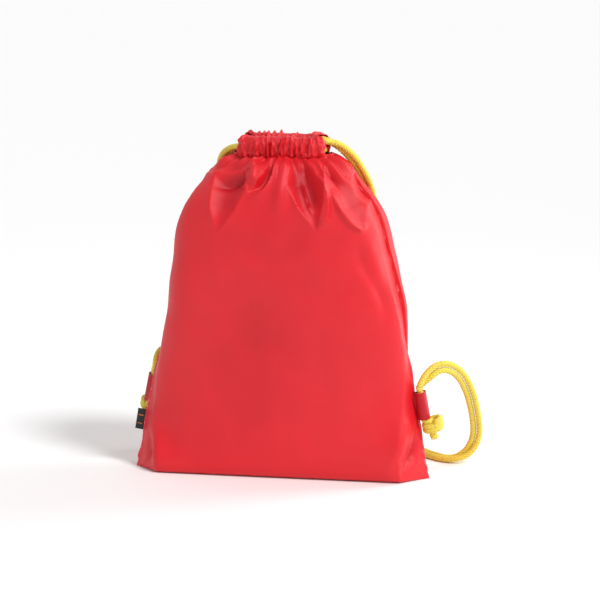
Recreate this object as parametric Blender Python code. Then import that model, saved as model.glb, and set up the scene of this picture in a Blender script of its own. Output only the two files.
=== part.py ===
"""A drawstring sack of thin nylon, standing on its boxed-out base with its mouth drawn closed.

Two cloth panels are sewn together at the sides and along the bottom. Each carries a casing along
its top edge. Two cords run round the mouth through both casings, leave at opposite ends, hang down
the back, and are tied off under a cloth loop in the lower end of each side seam.
Metres, +Z up, front towards -Y, origin on the floor under the middle of the bag.
"""
import math

import bpy
import bmesh
import numpy as np
from mathutils import Matrix, Vector

# ---- driving dimensions -------------------------------------------------------------------------
BASE_WIDTH = 0.340        # corner to corner along the bottom seam
BASE_DEPTH = 0.072        # front to back of the boxed-out base
BELLY_DEPTH = 0.132       # front to back where the bag is fullest
BELLY_HEIGHT = 0.268      # height of that fullest place
NECK_HEIGHT = 0.365       # floor to the gathered line under the casings
NECK_WIDTH = 0.114        # across the gathered line
NECK_DEPTH = 0.053
EAR_HEIGHT = 0.215        # height over which the pointed corners fade out
SEAM_PINCH = 0.006        # how far the side seams pull in between the bulging panels
BELLY_SHIFT = 0.006       # the filling leans this far to the right at mid-height
MOUTH_SHIFT = 0.003       # the mouth sits this far right of the base's middle
CLOTH = 0.0012            # wall of the cloth as modelled
GAP = 0.0003              # clearance between pieces that touch

CORD = 0.0068             # cord diameter
PAIR = CORD / 2 + GAP     # half the spacing of two strands lying side by side

CASING_HEIGHT = 0.026     # hem tunnel, top to bottom
CASING_DEPTH = 0.019      # hem tunnel, front to back
MOUTH_RADIUS = 0.0165     # round ends of the mouth, along the middle of the tunnels
MOUTH_STRAIGHT = 0.029    # half the straight run between those round ends
CASING_END = math.radians(40)    # the tunnels stop this far short of the side seams
CORD_LEVEL = CORD / 2 + 0.0004   # the two cords lie this far above and below the tunnel's middle

ALLOWANCE = 0.008         # width of the seam allowances inside the bag
ALLOWANCE_THICK = 0.0014

TAB_LENGTH = 0.0315       # cloth loop, along the side seam
RIGHT_TAB_HEIGHT = 0.0830        # middle of the loop, along the seam's height
LEFT_TAB_HEIGHT = 0.0905
LEFT_TAB_TURN = math.radians(74)     # the left loop is folded round to the back
FIN = 0.0022              # the loop's sewn end, between the seam and its tunnel
LOOP_WALL = 0.0010
SNUG = 0.0004             # slack of the strands in the cloth loop
STUB_TOP = 0.0005         # the tied-off ends start just above the middle of the loop
KNOT_DROP = 0.0015        # knot's top under the loop's lower edge
RIGHT_KNOT = (0.0112, 0.0105, 0.0082)    # half sizes: out from the seam, across, along the seam
LEFT_KNOT = (0.0108, 0.0084, 0.0082)
KNOT_FLAT = 0.72          # the knot is flattened above and below at this share of its half height
RIGHT_HANG = 0.0062       # the knot hangs this far outside the loop's middle
LEFT_HANG = 0.0045
TAIL = 0.0105             # length of the cut ends below the knot

LABEL_SIZE = (0.0100, 0.0240)    # how far the label stands out, and its height
LABEL_THICK = 0.0010
LABEL_HEIGHT = 0.0545
THREAD = 0.0008           # sewing thread as modelled

# share of the height and share of the half width: the bag's outline from the floor to the neck
OUTLINE = ((0.0, 1.0), (0.068, 0.960), (0.158, 0.935), (0.237, 0.897), (0.356, 0.862),
           (0.485, 0.821), (0.578, 0.791), (0.704, 0.735), (0.799, 0.694), (0.862, 0.632),
           (0.925, 0.532), (0.956, 0.479), (0.988, 0.400), (1.0, NECK_WIDTH / BASE_WIDTH))
FRONT_FOLD = 0.838        # where the straight front edge of the base turns to the corner
BACK_FOLD = 0.750
FOLD_AT = 0.8             # the same place, as a share of the way across the panel


def smoothstep(t):
    t = min(1.0, max(0.0, t))
    return t * t * (3.0 - 2.0 * t)


def through(stations, x):
    """Smooth curve through (x, value) stations, read at x."""
    xs = [p[0] for p in stations]
    ys = [p[1] for p in stations]
    i = min(max(int(np.searchsorted(xs, x)) - 1, 0), len(xs) - 2)

    def slope(k):
        lo, hi = max(k - 1, 0), min(k + 1, len(xs) - 1)
        return (ys[hi] - ys[lo]) / (xs[hi] - xs[lo])
    h = xs[i + 1] - xs[i]
    t = (x - xs[i]) / h
    return ((1 + 2 * t) * (1 - t) ** 2 * ys[i] + t * (1 - t) ** 2 * h * slope(i)
            + t * t * (3 - 2 * t) * ys[i + 1] + t * t * (t - 1) * h * slope(i + 1))


# ---- the bag's shape ----------------------------------------------------------------------------
def half_width(s):
    return BASE_WIDTH / 2 * through(OUTLINE, s)


def half_depth(s):
    belly = BELLY_HEIGHT / NECK_HEIGHT
    if s < belly:
        return (BASE_DEPTH + (BELLY_DEPTH - BASE_DEPTH) * smoothstep(s / belly)) / 2
    rise = (s - belly) / (1 - belly)
    return (NECK_DEPTH + (BELLY_DEPTH - NECK_DEPTH) * (1 - rise ** 3)) / 2


def lean(s):
    """Sideways shift of the whole section."""
    return BELLY_SHIFT * math.exp(-((s - 0.53) / 0.18) ** 2) + MOUTH_SHIFT * smoothstep((s - 0.9) / 0.1)


def pinch(s):
    return SEAM_PINCH * smoothstep((s - 0.27) / 0.2) * smoothstep((1 - s) / 0.1)


def panel_point(across, s, side, inset):
    """across -1..1 from the left seam to the right one, s 0..1 up the bag, side -1 front, 1 back."""
    a = half_width(s) - inset
    b = half_depth(s) - inset
    t = abs(across)
    fold = FRONT_FOLD if side < 0 else BACK_FOLD
    if t < FOLD_AT:
        box = (fold * t / FOLD_AT, 1.0)
    else:
        out = (t - FOLD_AT) / (1 - FOLD_AT)
        box = (fold + (1 - fold) * out, 1 - out)
    n = 2.1 + 0.7 * smoothstep((s - 0.25) / 0.3) - 0.5 * smoothstep((s - 0.85) / 0.15)
    angle = t * math.pi / 2
    full = (math.sin(angle) ** (2 / n), max(math.cos(angle), 0.0) ** (2 / n))
    ear = smoothstep(1 - s * NECK_HEIGHT / EAR_HEIGHT)
    qx = ear * box[0] + (1 - ear) * full[0]
    qy = ear * box[1] + (1 - ear) * full[1]
    y = b * qy
    x = a * qx - pinch(s) * math.exp(-(y / 0.012) ** 2)
    z = inset + s * (NECK_HEIGHT - inset)
    return Vector((math.copysign(x, across) + lean(s), side * (y + GAP / 2), z))


def seam_point(side, z):
    """A point of the left (-1) or right (1) side seam at height z."""
    p = panel_point(side, z / NECK_HEIGHT, -1, 0.0)
    return Vector((p.x, 0.0, z))


def seam_axis(side, z):
    """Direction of the side seam at height z, pointing up."""
    reach = TAB_LENGTH / 2
    return (seam_point(side, z + reach) - seam_point(side, z - reach)).normalized()


# ---- making things ------------------------------------------------------------------------------
def clear_scene():
    for ob in list(bpy.data.objects):
        bpy.data.objects.remove(ob, do_unlink=True)


def material(name, colour, roughness):
    mat = bpy.data.materials.new(name)
    mat.use_nodes = True
    shader = mat.node_tree.nodes["Principled BSDF"]
    shader.inputs["Base Color"].default_value = (*colour, 1.0)
    shader.inputs["Roughness"].default_value = roughness
    shader.inputs["Metallic"].default_value = 0.0
    return mat


def place(name, bm, mat, pivot=None, smooth_below=40):
    """Turn a bmesh into an object whose origin sits on pivot, faces out, round parts smooth."""
    bmesh.ops.remove_doubles(bm, verts=bm.verts, dist=1e-6)
    bmesh.ops.recalc_face_normals(bm, faces=bm.faces)
    if bm.calc_volume(signed=True) < 0:
        bmesh.ops.reverse_faces(bm, faces=bm.faces)
    mesh = bpy.data.meshes.new(name)
    bm.to_mesh(mesh)
    bm.free()
    if pivot is not None:
        mesh.transform(Matrix.Translation(-pivot))
    mesh.shade_smooth()
    mesh.set_sharp_from_angle(angle=math.radians(smooth_below))
    mesh.materials.append(mat)
    ob = bpy.data.objects.new(name, mesh)
    if pivot is not None:
        ob.location = pivot
    bpy.context.scene.collection.objects.link(ob)
    return ob


def skin(bm, rows, closed=False):
    """Quads between successive rows of vertices; closed joins each row's ends."""
    for lower, upper in zip(rows, rows[1:]):
        count = len(lower)
        for i in range(count if closed else count - 1):
            j = (i + 1) % count
            bm.faces.new((lower[i], lower[j], upper[j], upper[i]))


def make_panel(name, side, mat):
    """One cloth panel: base half, wall and shoulder, as a shell of the cloth's thickness."""
    across = [math.sin(math.radians(a)) for a in np.linspace(-90, 90, 25)]
    up = [0, 0.012, 0.035, 0.07, 0.12, 0.18, 0.25, 0.33, 0.42, 0.51, 0.60, 0.69, 0.77, 0.84, 0.89,
          0.93, 0.96, 0.985, 1.0]
    base_rows = [1.0, 0.5]
    bm = bmesh.new()
    layers = []
    for inset in (0.0, CLOTH):
        rows = []
        for back in base_rows:
            row = []
            for w in across:
                edge = panel_point(w, 0, side, inset)
                seam_x = (BASE_WIDTH / 2 - inset) * w
                row.append(bm.verts.new((edge.x + (seam_x - edge.x) * back,
                                         side * (GAP / 2 + (abs(edge.y) - GAP / 2) * (1 - back)), edge.z)))
            rows.append(row)
        for s in up:
            rows.append([bm.verts.new(panel_point(w, s, side, inset)) for w in across])
        layers.append(rows)
    outer, inner = layers
    skin(bm, outer)
    skin(bm, inner)
    skin(bm, [outer[0], inner[0]])
    skin(bm, [outer[-1], inner[-1]])
    for end in (0, -1):
        skin(bm, [[row[end] for row in outer], [row[end] for row in inner]])
    return place(name, bm, mat)


def make_tunnel(name, stations, mat, pivot=None):
    """A tube with a wall. Each station is (outer loop, inner loop) of points."""
    bm = bmesh.new()
    outer = [[bm.verts.new(p) for p in loop[0]] for loop in stations]
    inner = [[bm.verts.new(p) for p in loop[1]] for loop in stations]
    skin(bm, outer, closed=True)
    skin(bm, inner, closed=True)
    skin(bm, [outer[0], inner[0]], closed=True)
    skin(bm, [outer[-1], inner[-1]], closed=True)
    return place(name, bm, mat, pivot)


def stadium(half_a, half_b, count):
    """Points (a, b) of a rounded rectangle whose corners are superelliptic."""
    points = []
    for k in range(count):
        t = 2 * math.pi * k / count
        c, s = math.cos(t), math.sin(t)
        points.append((half_a * math.copysign(abs(c) ** 0.75, c), half_b * math.copysign(abs(s) ** 0.75, s)))
    return points


def mouth_point(angle_end, radius_shift=0.0):
    """Point and outward normal on the right half of the mouth's middle line, front side."""
    c, s = math.cos(angle_end), math.sin(angle_end)
    r = MOUTH_RADIUS + radius_shift
    return Vector((MOUTH_STRAIGHT + r * c, r * s, 0)), Vector((c, s, 0))


def mouth_path(side, end_angle, straights=7, rounds=5):
    """(point, outward normal) along one side of the mouth, left to right; side -1 is the front."""
    path = []
    start = -math.pi / 2
    for k in range(rounds):
        angle = -end_angle + (start + end_angle) * k / rounds
        p, n = mouth_point(angle)
        path.append((Vector((-p.x, p.y, 0)), Vector((-n.x, n.y, 0))))
    for k in range(straights):
        x = -MOUTH_STRAIGHT + 2 * MOUTH_STRAIGHT * k / (straights - 1)
        path.append((Vector((x, -MOUTH_RADIUS, 0)), Vector((0, -1, 0))))
    for p, n in reversed(path[:rounds]):
        path.append((Vector((-p.x, p.y, 0)), Vector((-n.x, n.y, 0))))
    turn = Vector((1, -side, 1))
    shift = Vector((MOUTH_SHIFT, 0, 0))
    return [(p * turn + shift, n * turn) for p, n in path]


CASING_MIDDLE = NECK_HEIGHT + GAP + CASING_HEIGHT / 2


def make_casing(name, side, mat):
    """The hem tunnel along one panel's top edge, gathered round the mouth."""
    outer = stadium(CASING_DEPTH / 2, CASING_HEIGHT / 2, 16)
    inner = stadium(CASING_DEPTH / 2 - CLOTH, CASING_HEIGHT / 2 - CLOTH, 16)
    up = Vector((0, 0, 1))
    stations = []
    for p, n in mouth_path(side, CASING_END):
        middle = p + up * CASING_MIDDLE
        stations.append(([middle + n * a + up * b for a, b in outer],
                         [middle + n * a + up * b for a, b in inner]))
    return make_tunnel(name, stations, mat)


def make_strip(name, points, normals, width, thick, mat):
    """A flat strip along points, width along normals, thickness across the seam plane (Y)."""
    bm = bmesh.new()
    rows = []
    for p, n in zip(points, normals):
        half = Vector((0, thick / 2, 0))
        rows.append([bm.verts.new(q) for q in (p - half, p + half, p + n * width + half, p + n * width - half)])
    skin(bm, rows, closed=True)
    for row in (rows[0], rows[-1]):
        bm.faces.new(row)
    return place(name, bm, mat, smooth_below=20)


def make_tube(name, points, diameter, mat, pivot=None, sides=2):
    """A round cord along points, with flat closed ends."""
    curve = bpy.data.curves.new(name, "CURVE")
    curve.dimensions = "3D"
    curve.bevel_depth = diameter / 2
    curve.bevel_resolution = sides
    curve.use_fill_caps = True
    curve.twist_mode = "MINIMUM"
    spline = curve.splines.new("POLY")
    spline.points.add(len(points) - 1)
    origin = pivot if pivot is not None else Vector((0, 0, 0))
    for point, place_at in zip(spline.points, points):
        point.co = (*(Vector(place_at) - origin), 1.0)
    curve.materials.append(mat)
    ob = bpy.data.objects.new(name, curve)
    ob.location = origin
    bpy.context.scene.collection.objects.link(ob)
    return ob


# ---- cords --------------------------------------------------------------------------------------
# The middle of a pair of strands, from the mouth to its cloth loop: the place, the direction from
# the second strand to the first, and half the spacing of the two.
RIGHT_ROUTE = (
    ((0.0446, 0.0000, 0.3821), (0.00, -1.00, 0.00), 0.0106),
    ((0.0535, 0.0015, 0.3812), (0.10, -1.00, 0.10), 0.0065),
    ((0.0655, 0.0055, 0.3752), (0.30, -0.80, 0.50), PAIR),
    ((0.0762, 0.0130, 0.3640), (0.50, -0.65, 0.55), PAIR),
    ((0.0852, 0.0250, 0.3475), (0.60, -0.60, 0.40), PAIR),
    ((0.0928, 0.0440, 0.3220), (0.75, -0.50, 0.20), PAIR),
    ((0.0945, 0.0575, 0.2950), (0.90, -0.35, 0.10), PAIR),
    ((0.0935, 0.0665, 0.2600), (1.00, -0.20, 0.00), PAIR),
    ((0.0915, 0.0710, 0.2150), (1.00, -0.10, 0.00), PAIR),
    ((0.0895, 0.0725, 0.1700), (1.00, 0.00, 0.00), PAIR),
    ((0.0880, 0.0735, 0.1250), (1.00, 0.00, 0.00), PAIR),
    ((0.0875, 0.0750, 0.0800), (1.00, 0.00, 0.00), PAIR),
    ((0.0880, 0.0790, 0.0420), (1.00, 0.00, 0.00), PAIR),
    ((0.0890, 0.0880, 0.0145), (1.00, 0.00, 0.00), PAIR),
    ((0.0925, 0.1035, 0.0040), (0.98, -0.20, 0.00), PAIR),
    ((0.1010, 0.1180, 0.0037), (0.70, -0.70, 0.00), PAIR),
    ((0.1160, 0.1245, 0.0037), (0.15, -1.00, 0.00), PAIR),
    ((0.1330, 0.1195, 0.0037), (-0.40, -0.90, 0.00), PAIR),
    ((0.1475, 0.1060, 0.0037), (-0.65, -0.75, 0.00), PAIR),
    ((0.1610, 0.0920, 0.0037), (-0.65, -0.75, 0.00), PAIR),
    ((0.1755, 0.0800, 0.0038), (-0.50, -0.85, 0.00), PAIR),
    ((0.1900, 0.0745, 0.0060), (0.00, -1.00, -0.10), PAIR),
    ((0.2030, 0.0745, 0.0125), (0.45, -0.75, -0.45), PAIR),
    ((0.2110, 0.0755, 0.0235), (0.85, -0.35, -0.35), PAIR),
    ((0.2145, 0.0735, 0.0375), (1.00, -0.10, -0.05), PAIR),
    ((0.2143, 0.0660, 0.0554), (1.00, 0.00, 0.05), PAIR),
    ((0.2120, 0.0550, 0.0758), (0.98, 0.05, 0.20), PAIR),
    ((0.2084, 0.0440, 0.0938), (0.93, 0.10, 0.38), PAIR),
    ((0.2024, 0.0330, 0.1101), (0.75, 0.10, 0.66), PAIR),
    ((0.1939, 0.0230, 0.1215), (0.35, 0.10, 0.93), PAIR),
    ((0.1850, 0.0150, 0.1262), (0.00, 0.00, 1.00), PAIR),
    ((0.1763, 0.0090, 0.1252), (-0.35, -0.10, 0.92), PAIR),
    ((0.1682, 0.0040, 0.1190), (-0.60, -0.45, 0.60), PAIR),
)
LEFT_ROUTE = (
    ((-0.0386, 0.0000, 0.3745), (0.00, -1.00, 0.00), 0.0106),
    ((-0.0475, 0.0035, 0.3738), (-0.10, -1.00, 0.00), 0.0065),
    ((-0.0580, 0.0100, 0.3695), (-0.30, -0.90, 0.20), PAIR),
    ((-0.0675, 0.0205, 0.3610), (-0.50, -0.75, 0.35), PAIR),
    ((-0.0745, 0.0345, 0.3460), (-0.70, -0.60, 0.30), PAIR),
    ((-0.0798, 0.0510, 0.3250), (-0.85, -0.45, 0.20), PAIR),
    ((-0.0815, 0.0620, 0.2960), (-0.95, -0.25, 0.05), PAIR),
    ((-0.0810, 0.0680, 0.2600), (-1.00, -0.15, 0.00), PAIR),
    ((-0.0800, 0.0715, 0.2150), (-1.00, -0.05, 0.00), PAIR),
    ((-0.0790, 0.0730, 0.1700), (-1.00, 0.00, 0.00), PAIR),
    ((-0.0775, 0.0745, 0.1250), (-1.00, 0.00, 0.00), PAIR),
    ((-0.0750, 0.0760, 0.0800), (-1.00, 0.00, 0.00), PAIR),
    ((-0.0710, 0.0800, 0.0420), (-1.00, 0.05, 0.00), PAIR),
    ((-0.0665, 0.0890, 0.0145), (-0.98, 0.15, 0.00), PAIR),
    ((-0.0635, 0.1040, 0.0040), (-0.98, 0.10, 0.00), PAIR),
    ((-0.0650, 0.1210, 0.0037), (-0.98, -0.20, 0.00), PAIR),
    ((-0.0745, 0.1355, 0.0037), (-0.65, -0.75, 0.00), PAIR),
    ((-0.0900, 0.1410, 0.0037), (-0.10, -1.00, 0.00), PAIR),
    ((-0.1060, 0.1345, 0.0037), (0.55, -0.85, 0.00), PAIR),
    ((-0.1180, 0.1200, 0.0037), (0.80, -0.60, 0.00), PAIR),
    ((-0.1255, 0.1060, 0.0045), (0.90, -0.40, -0.10), PAIR),
    ((-0.1300, 0.0930, 0.0130), (0.95, -0.20, -0.25), PAIR),
    ((-0.1330, 0.0840, 0.0320), (0.90, 0.35, -0.10), PAIR),
    ((-0.1345, 0.0770, 0.0570), (0.60, 0.80, 0.05), PAIR),
    ((-0.1355, 0.0700, 0.0800), (0.30, 0.95, 0.15), PAIR),
    ((-0.1370, 0.0615, 0.0990), (0.10, 0.90, 0.35), PAIR),
    ((-0.1390, 0.0510, 0.1140), (0.05, 0.80, 0.55), PAIR),
    ((-0.1420, 0.0400, 0.1245), (0.00, 0.50, 0.85), PAIR),
    ((-0.1455, 0.0275, 0.1285), (0.00, 0.00, 1.00), PAIR),
    ((-0.1480, 0.0160, 0.1240), (0.00, -0.65, 0.75), PAIR),
)


def smooth_route(knots, step):
    """Evenly spaced rows on a centripetal Catmull-Rom curve through the rows of knots."""
    pts = [np.array(k, dtype=float) for k in knots]
    pts = [2 * pts[0] - pts[1]] + pts + [2 * pts[-1] - pts[-2]]
    fine = []
    for i in range(1, len(pts) - 2):
        p0, p1, p2, p3 = pts[i - 1:i + 3]
        t0 = 0.0
        t1 = t0 + np.linalg.norm((p1 - p0)[:3]) ** 0.5
        t2 = t1 + np.linalg.norm((p2 - p1)[:3]) ** 0.5
        t3 = t2 + np.linalg.norm((p3 - p2)[:3]) ** 0.5
        for k in range(12):
            t = t1 + (t2 - t1) * k / 12
            a1 = p0 * (t1 - t) / (t1 - t0) + p1 * (t - t0) / (t1 - t0)
            a2 = p1 * (t2 - t) / (t2 - t1) + p2 * (t - t1) / (t2 - t1)
            a3 = p2 * (t3 - t) / (t3 - t2) + p3 * (t - t2) / (t3 - t2)
            b1 = a1 * (t2 - t) / (t2 - t0) + a2 * (t - t0) / (t2 - t0)
            b2 = a2 * (t3 - t) / (t3 - t1) + a3 * (t - t1) / (t3 - t1)
            fine.append(b1 * (t2 - t) / (t2 - t1) + b2 * (t - t1) / (t2 - t1))
    fine.append(pts[-2])
    fine = np.array(fine)
    lengths = np.concatenate(([0], np.cumsum(np.linalg.norm(np.diff(fine[:, :3], axis=0), axis=1))))
    count = max(2, int(round(lengths[-1] / step)))
    wanted = np.linspace(0, lengths[-1], count + 1)
    return np.stack([np.interp(wanted, lengths, fine[:, c]) for c in range(fine.shape[1])], axis=1)


def pair_strands(route, landing, up, end_side, step):
    """The two strands of a pair: its route is closed by a straight drop into the cloth loop."""
    knots = [(*p, *side, gap) for p, side, gap in route]
    knots += [(*(landing + up * rise), *end_side, PAIR) for rise in (0.009, 0.0)]
    rows = smooth_route(knots, step)
    ahead = np.gradient(rows[:, :3], axis=0)
    first, second = [], []
    for row, run in zip(rows, ahead):
        middle, side, run = Vector(row[:3]), Vector(row[3:6]), Vector(run).normalized()
        side = (side - run * side.dot(run)).normalized()
        first.append(middle + side * row[6])
        second.append(middle - side * row[6])
    for strand, sign in ((first, 1), (second, -1)):
        strand[-1] = landing + end_side * PAIR * sign
        strand[-2] = strand[-1] + up * (strand[-2] - strand[-1]).length
        for point in strand:
            point.z = max(point.z, CORD / 2 + GAP)
    return first, second


# ---- the cloth loops and what hangs from them ---------------------------------------------------
class Loop:
    """A cloth loop sewn into a side seam: its hinge line and the tunnel that holds two strands."""

    def __init__(self, side, height, turn, half_out, half_across, strands_across):
        self.middle = seam_point(side, height)
        self.up = seam_axis(side, height)
        straight_out = Vector((side * self.up.z, 0, -side * self.up.x))
        back = Vector((0, 1, 0))
        self.out = straight_out * math.cos(turn) + back * math.sin(turn)
        self.across = self.up.cross(self.out)
        self.half_out, self.half_across = half_out, half_across
        self.tunnel = self.middle + self.out * (FIN + half_out)
        self.strand_side = self.across if strands_across else self.out
        self.top = self.tunnel + self.up * TAB_LENGTH / 2
        self.bottom = self.tunnel - self.up * TAB_LENGTH / 2


WIDE = PAIR + CORD / 2 + LOOP_WALL + SNUG
NARROW = CORD / 2 + LOOP_WALL + SNUG * 2
RIGHT_LOOP = Loop(1, RIGHT_TAB_HEIGHT, 0.0, NARROW + 0.0006, WIDE, True)
LEFT_LOOP = Loop(-1, LEFT_TAB_HEIGHT, LEFT_TAB_TURN, WIDE, NARROW, False)


def make_loop(name, loop, mat):
    """A teardrop tunnel with its sewn edge in the seam."""
    count = 20
    outer, inner = [], []
    for k in range(count):
        t = 2 * math.pi * k / count
        c, s = math.cos(t), math.sin(t)
        a = loop.half_out * c
        b = loop.half_across * math.copysign(abs(s) ** 0.8, s)
        outer.append((a, b))
        inner.append((a * (1 - LOOP_WALL / loop.half_out), b * (1 - LOOP_WALL / loop.half_across)))
    outer[count // 2] = (-loop.half_out - FIN * 0.4, 0.0)
    stations = []
    for k in range(4):
        middle = loop.bottom + (loop.top - loop.bottom) * k / 3
        stations.append([[middle + loop.out * a + loop.across * b for a, b in ring] for ring in (outer, inner)])
    return make_tunnel(name, stations, mat, loop.middle)


def make_knot(name, loop, centre, sizes, mat):
    """The overhand knot's outer shape: a squashed ball with flats where the strands meet it."""
    bm = bmesh.new()
    bmesh.ops.create_uvsphere(bm, u_segments=16, v_segments=10, radius=1.0)
    frame = Matrix((loop.out * sizes[0], loop.across * sizes[1], loop.up * sizes[2])).transposed()
    for v in bm.verts:
        v.co = centre + frame @ v.co
    for sign in (1, -1):
        plane = centre + loop.up * sizes[2] * KNOT_FLAT * sign
        cut = bmesh.ops.bisect_plane(bm, geom=bm.verts[:] + bm.edges[:] + bm.faces[:], plane_co=plane,
                                     plane_no=loop.up * sign, clear_outer=True)
        rim = [e for e in cut["geom_cut"] if isinstance(e, bmesh.types.BMEdge)]
        bmesh.ops.contextual_create(bm, geom=rim)
    return place(name, bm, mat, loop.middle)


def make_loop_end(prefix, loop, cloth, cord, sizes, hang):
    """Everything on one cloth loop: tunnel, strands in it, tied-off ends, knot and tails."""
    make_loop(prefix + "_loop_tab", loop, cloth)
    centre = (loop.bottom - loop.up * (KNOT_DROP + GAP + sizes[2] * KNOT_FLAT) + loop.out * hang)
    for tag, sign in (("a", 1), ("b", -1)):
        line = loop.tunnel + loop.strand_side * PAIR * sign
        top = line + loop.up * TAB_LENGTH / 2
        split = line + loop.up * STUB_TOP
        low = line - loop.up * (TAB_LENGTH / 2 + KNOT_DROP)
        make_tube(f"{prefix}_loop_strand_{tag}", [top, (top + split) / 2, split + loop.up * GAP], CORD, cord,
                  loop.middle)
        make_tube(f"{prefix}_cord_end_{tag}", [split, (split + low) / 2, low], CORD, cord, loop.middle)
        start = centre - loop.up * (sizes[2] * KNOT_FLAT + GAP * 2) + loop.strand_side * PAIR * sign
        lean_out = loop.out * 0.0015 + loop.strand_side * 0.0015 * sign
        make_tube(f"{prefix}_cord_tail_{tag}",
                  [start, start - loop.up * TAIL / 2, start - loop.up * TAIL + lean_out],
                  CORD, cord, loop.middle)
    make_knot(prefix + "_knot", loop, centre, sizes, cord)


def make_free_pair(prefix, route, loop, mat):
    """The two free strands of one cord, from the mouth to just above the cloth loop."""
    first, second = pair_strands(route, loop.top + loop.up * GAP * 2, loop.up, -loop.strand_side, 2 * CORD)
    own_end = 1 if loop is RIGHT_LOOP else -1
    for tag, points, front in (("front", first, -1), ("back", second, 1)):
        end, normal = mouth_point(-CASING_END)
        run = Vector((-normal.y, normal.x, 0))
        start = [end + run * GAP * 2, end + run * CORD * 0.6]
        turn = Vector((own_end, -front, 1))
        offset = Vector((MOUTH_SHIFT, 0, CASING_MIDDLE + own_end * CORD_LEVEL))
        points = [p * turn + offset for p in start] + points[1:]
        make_tube(f"{prefix}_cord_{tag}_strand", points, CORD, mat)


def make_mouth_cord(name, side, level, mat):
    """A cord's run through both casings, round the far end of the mouth; side is its own end."""
    half = []
    steps = 6
    for k in range(1, steps + 1):
        angle = -CASING_END + (-math.pi / 2 + CASING_END) * k / steps
        half.append(mouth_point(angle)[0])
    half.insert(0, mouth_point(-CASING_END)[0])
    half[0] += (half[1] - half[0]).normalized() * GAP
    straight = [Vector((MOUTH_STRAIGHT * t, -MOUTH_RADIUS, 0)) for t in (0.5, 0.0, -0.5)]
    far = [Vector((-p.x, p.y, 0)) for p in (mouth_point(math.radians(a))[0] for a in range(-90, 1, 15))]
    front = half + straight + far
    loop = front + [Vector((p.x, -p.y, 0)) for p in reversed(front[:-1])]
    points = [Vector((side * p.x + MOUTH_SHIFT, p.y, CASING_MIDDLE + level)) for p in loop]
    make_tube(name, points, CORD, mat)


def make_stitching(name, side, mat):
    """The line of thread that holds the casing's lower edge."""
    points = []
    for p, n in mouth_path(side, CASING_END, 9, 4):
        points.append(p + n * (CASING_DEPTH / 2 * 0.72 + THREAD) + Vector((0, 0, CASING_MIDDLE)))
    drop = CASING_HEIGHT / 2 * 0.86
    make_tube(name, [p - Vector((0, 0, drop)) for p in points], THREAD, mat)


def make_label(name, mat):
    """A folded woven label, standing out of the left side seam under the cloth loop."""
    middle = seam_point(-1, LABEL_HEIGHT)
    up = seam_axis(-1, LABEL_HEIGHT)
    out = Vector((-up.z, 0, up.x))
    width, tall = LABEL_SIZE
    bm = bmesh.new()
    rows = []
    for v in (-0.5, 0.5):
        base = middle + out * GAP * 2 + up * tall * v
        half = Vector((0, LABEL_THICK / 2, 0))
        tip = base + out * width
        rows.append([bm.verts.new(q) for q in (base - half, base + half, tip + half, tip - half)])
    skin(bm, rows, closed=True)
    for row in rows:
        bm.faces.new(row)
    return place(name, bm, mat, middle, 20)


def make_allowances(mat):
    """The overlocked seam allowances on the inside: two sides and the bottom."""
    for name, side in (("left_side_seam", -1), ("right_side_seam", 1)):
        points, normals = [], []
        for s in np.linspace(0.05, 0.93, 15):
            edge = panel_point(side, s, -1, 0.0)
            points.append(Vector((edge.x - side * (CLOTH + 0.0045), 0, edge.z)))
            normals.append(Vector((-side, 0, 0)))
        make_strip(name, points, normals, ALLOWANCE, ALLOWANCE_THICK, mat)
    reach = BASE_WIDTH / 2 - 0.022
    points = [Vector((x, 0, CLOTH + GAP)) for x in np.linspace(-reach, reach, 9)]
    make_strip("bottom_seam", points, [Vector((0, 0, 1))] * len(points), ALLOWANCE, ALLOWANCE_THICK, mat)


def main():
    clear_scene()
    nylon = material("red_nylon", (0.72, 0.03, 0.04), 0.42)
    thread = material("red_thread", (0.60, 0.02, 0.03), 0.6)
    cord = material("yellow_cord", (0.86, 0.58, 0.03), 0.6)
    woven = material("black_label", (0.02, 0.02, 0.02), 0.7)

    make_panel("front_panel", -1, nylon)
    make_panel("back_panel", 1, nylon)
    make_casing("front_casing", -1, nylon)
    make_casing("back_casing", 1, nylon)
    make_allowances(thread)
    make_stitching("front_casing_stitching", -1, thread)
    make_stitching("back_casing_stitching", 1, thread)
    make_mouth_cord("right_cord_mouth", 1, CORD_LEVEL, cord)
    make_mouth_cord("left_cord_mouth", -1, -CORD_LEVEL, cord)
    make_free_pair("right", RIGHT_ROUTE, RIGHT_LOOP, cord)
    make_free_pair("left", LEFT_ROUTE, LEFT_LOOP, cord)
    make_loop_end("right", RIGHT_LOOP, nylon, cord, RIGHT_KNOT, RIGHT_HANG)
    make_loop_end("left", LEFT_LOOP, nylon, cord, LEFT_KNOT, LEFT_HANG)
    make_label("side_label", woven)


main()
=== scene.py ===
import math

import bpy
import numpy as np
from mathutils.bvhtree import BVHTree
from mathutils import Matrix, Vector, noise


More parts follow.
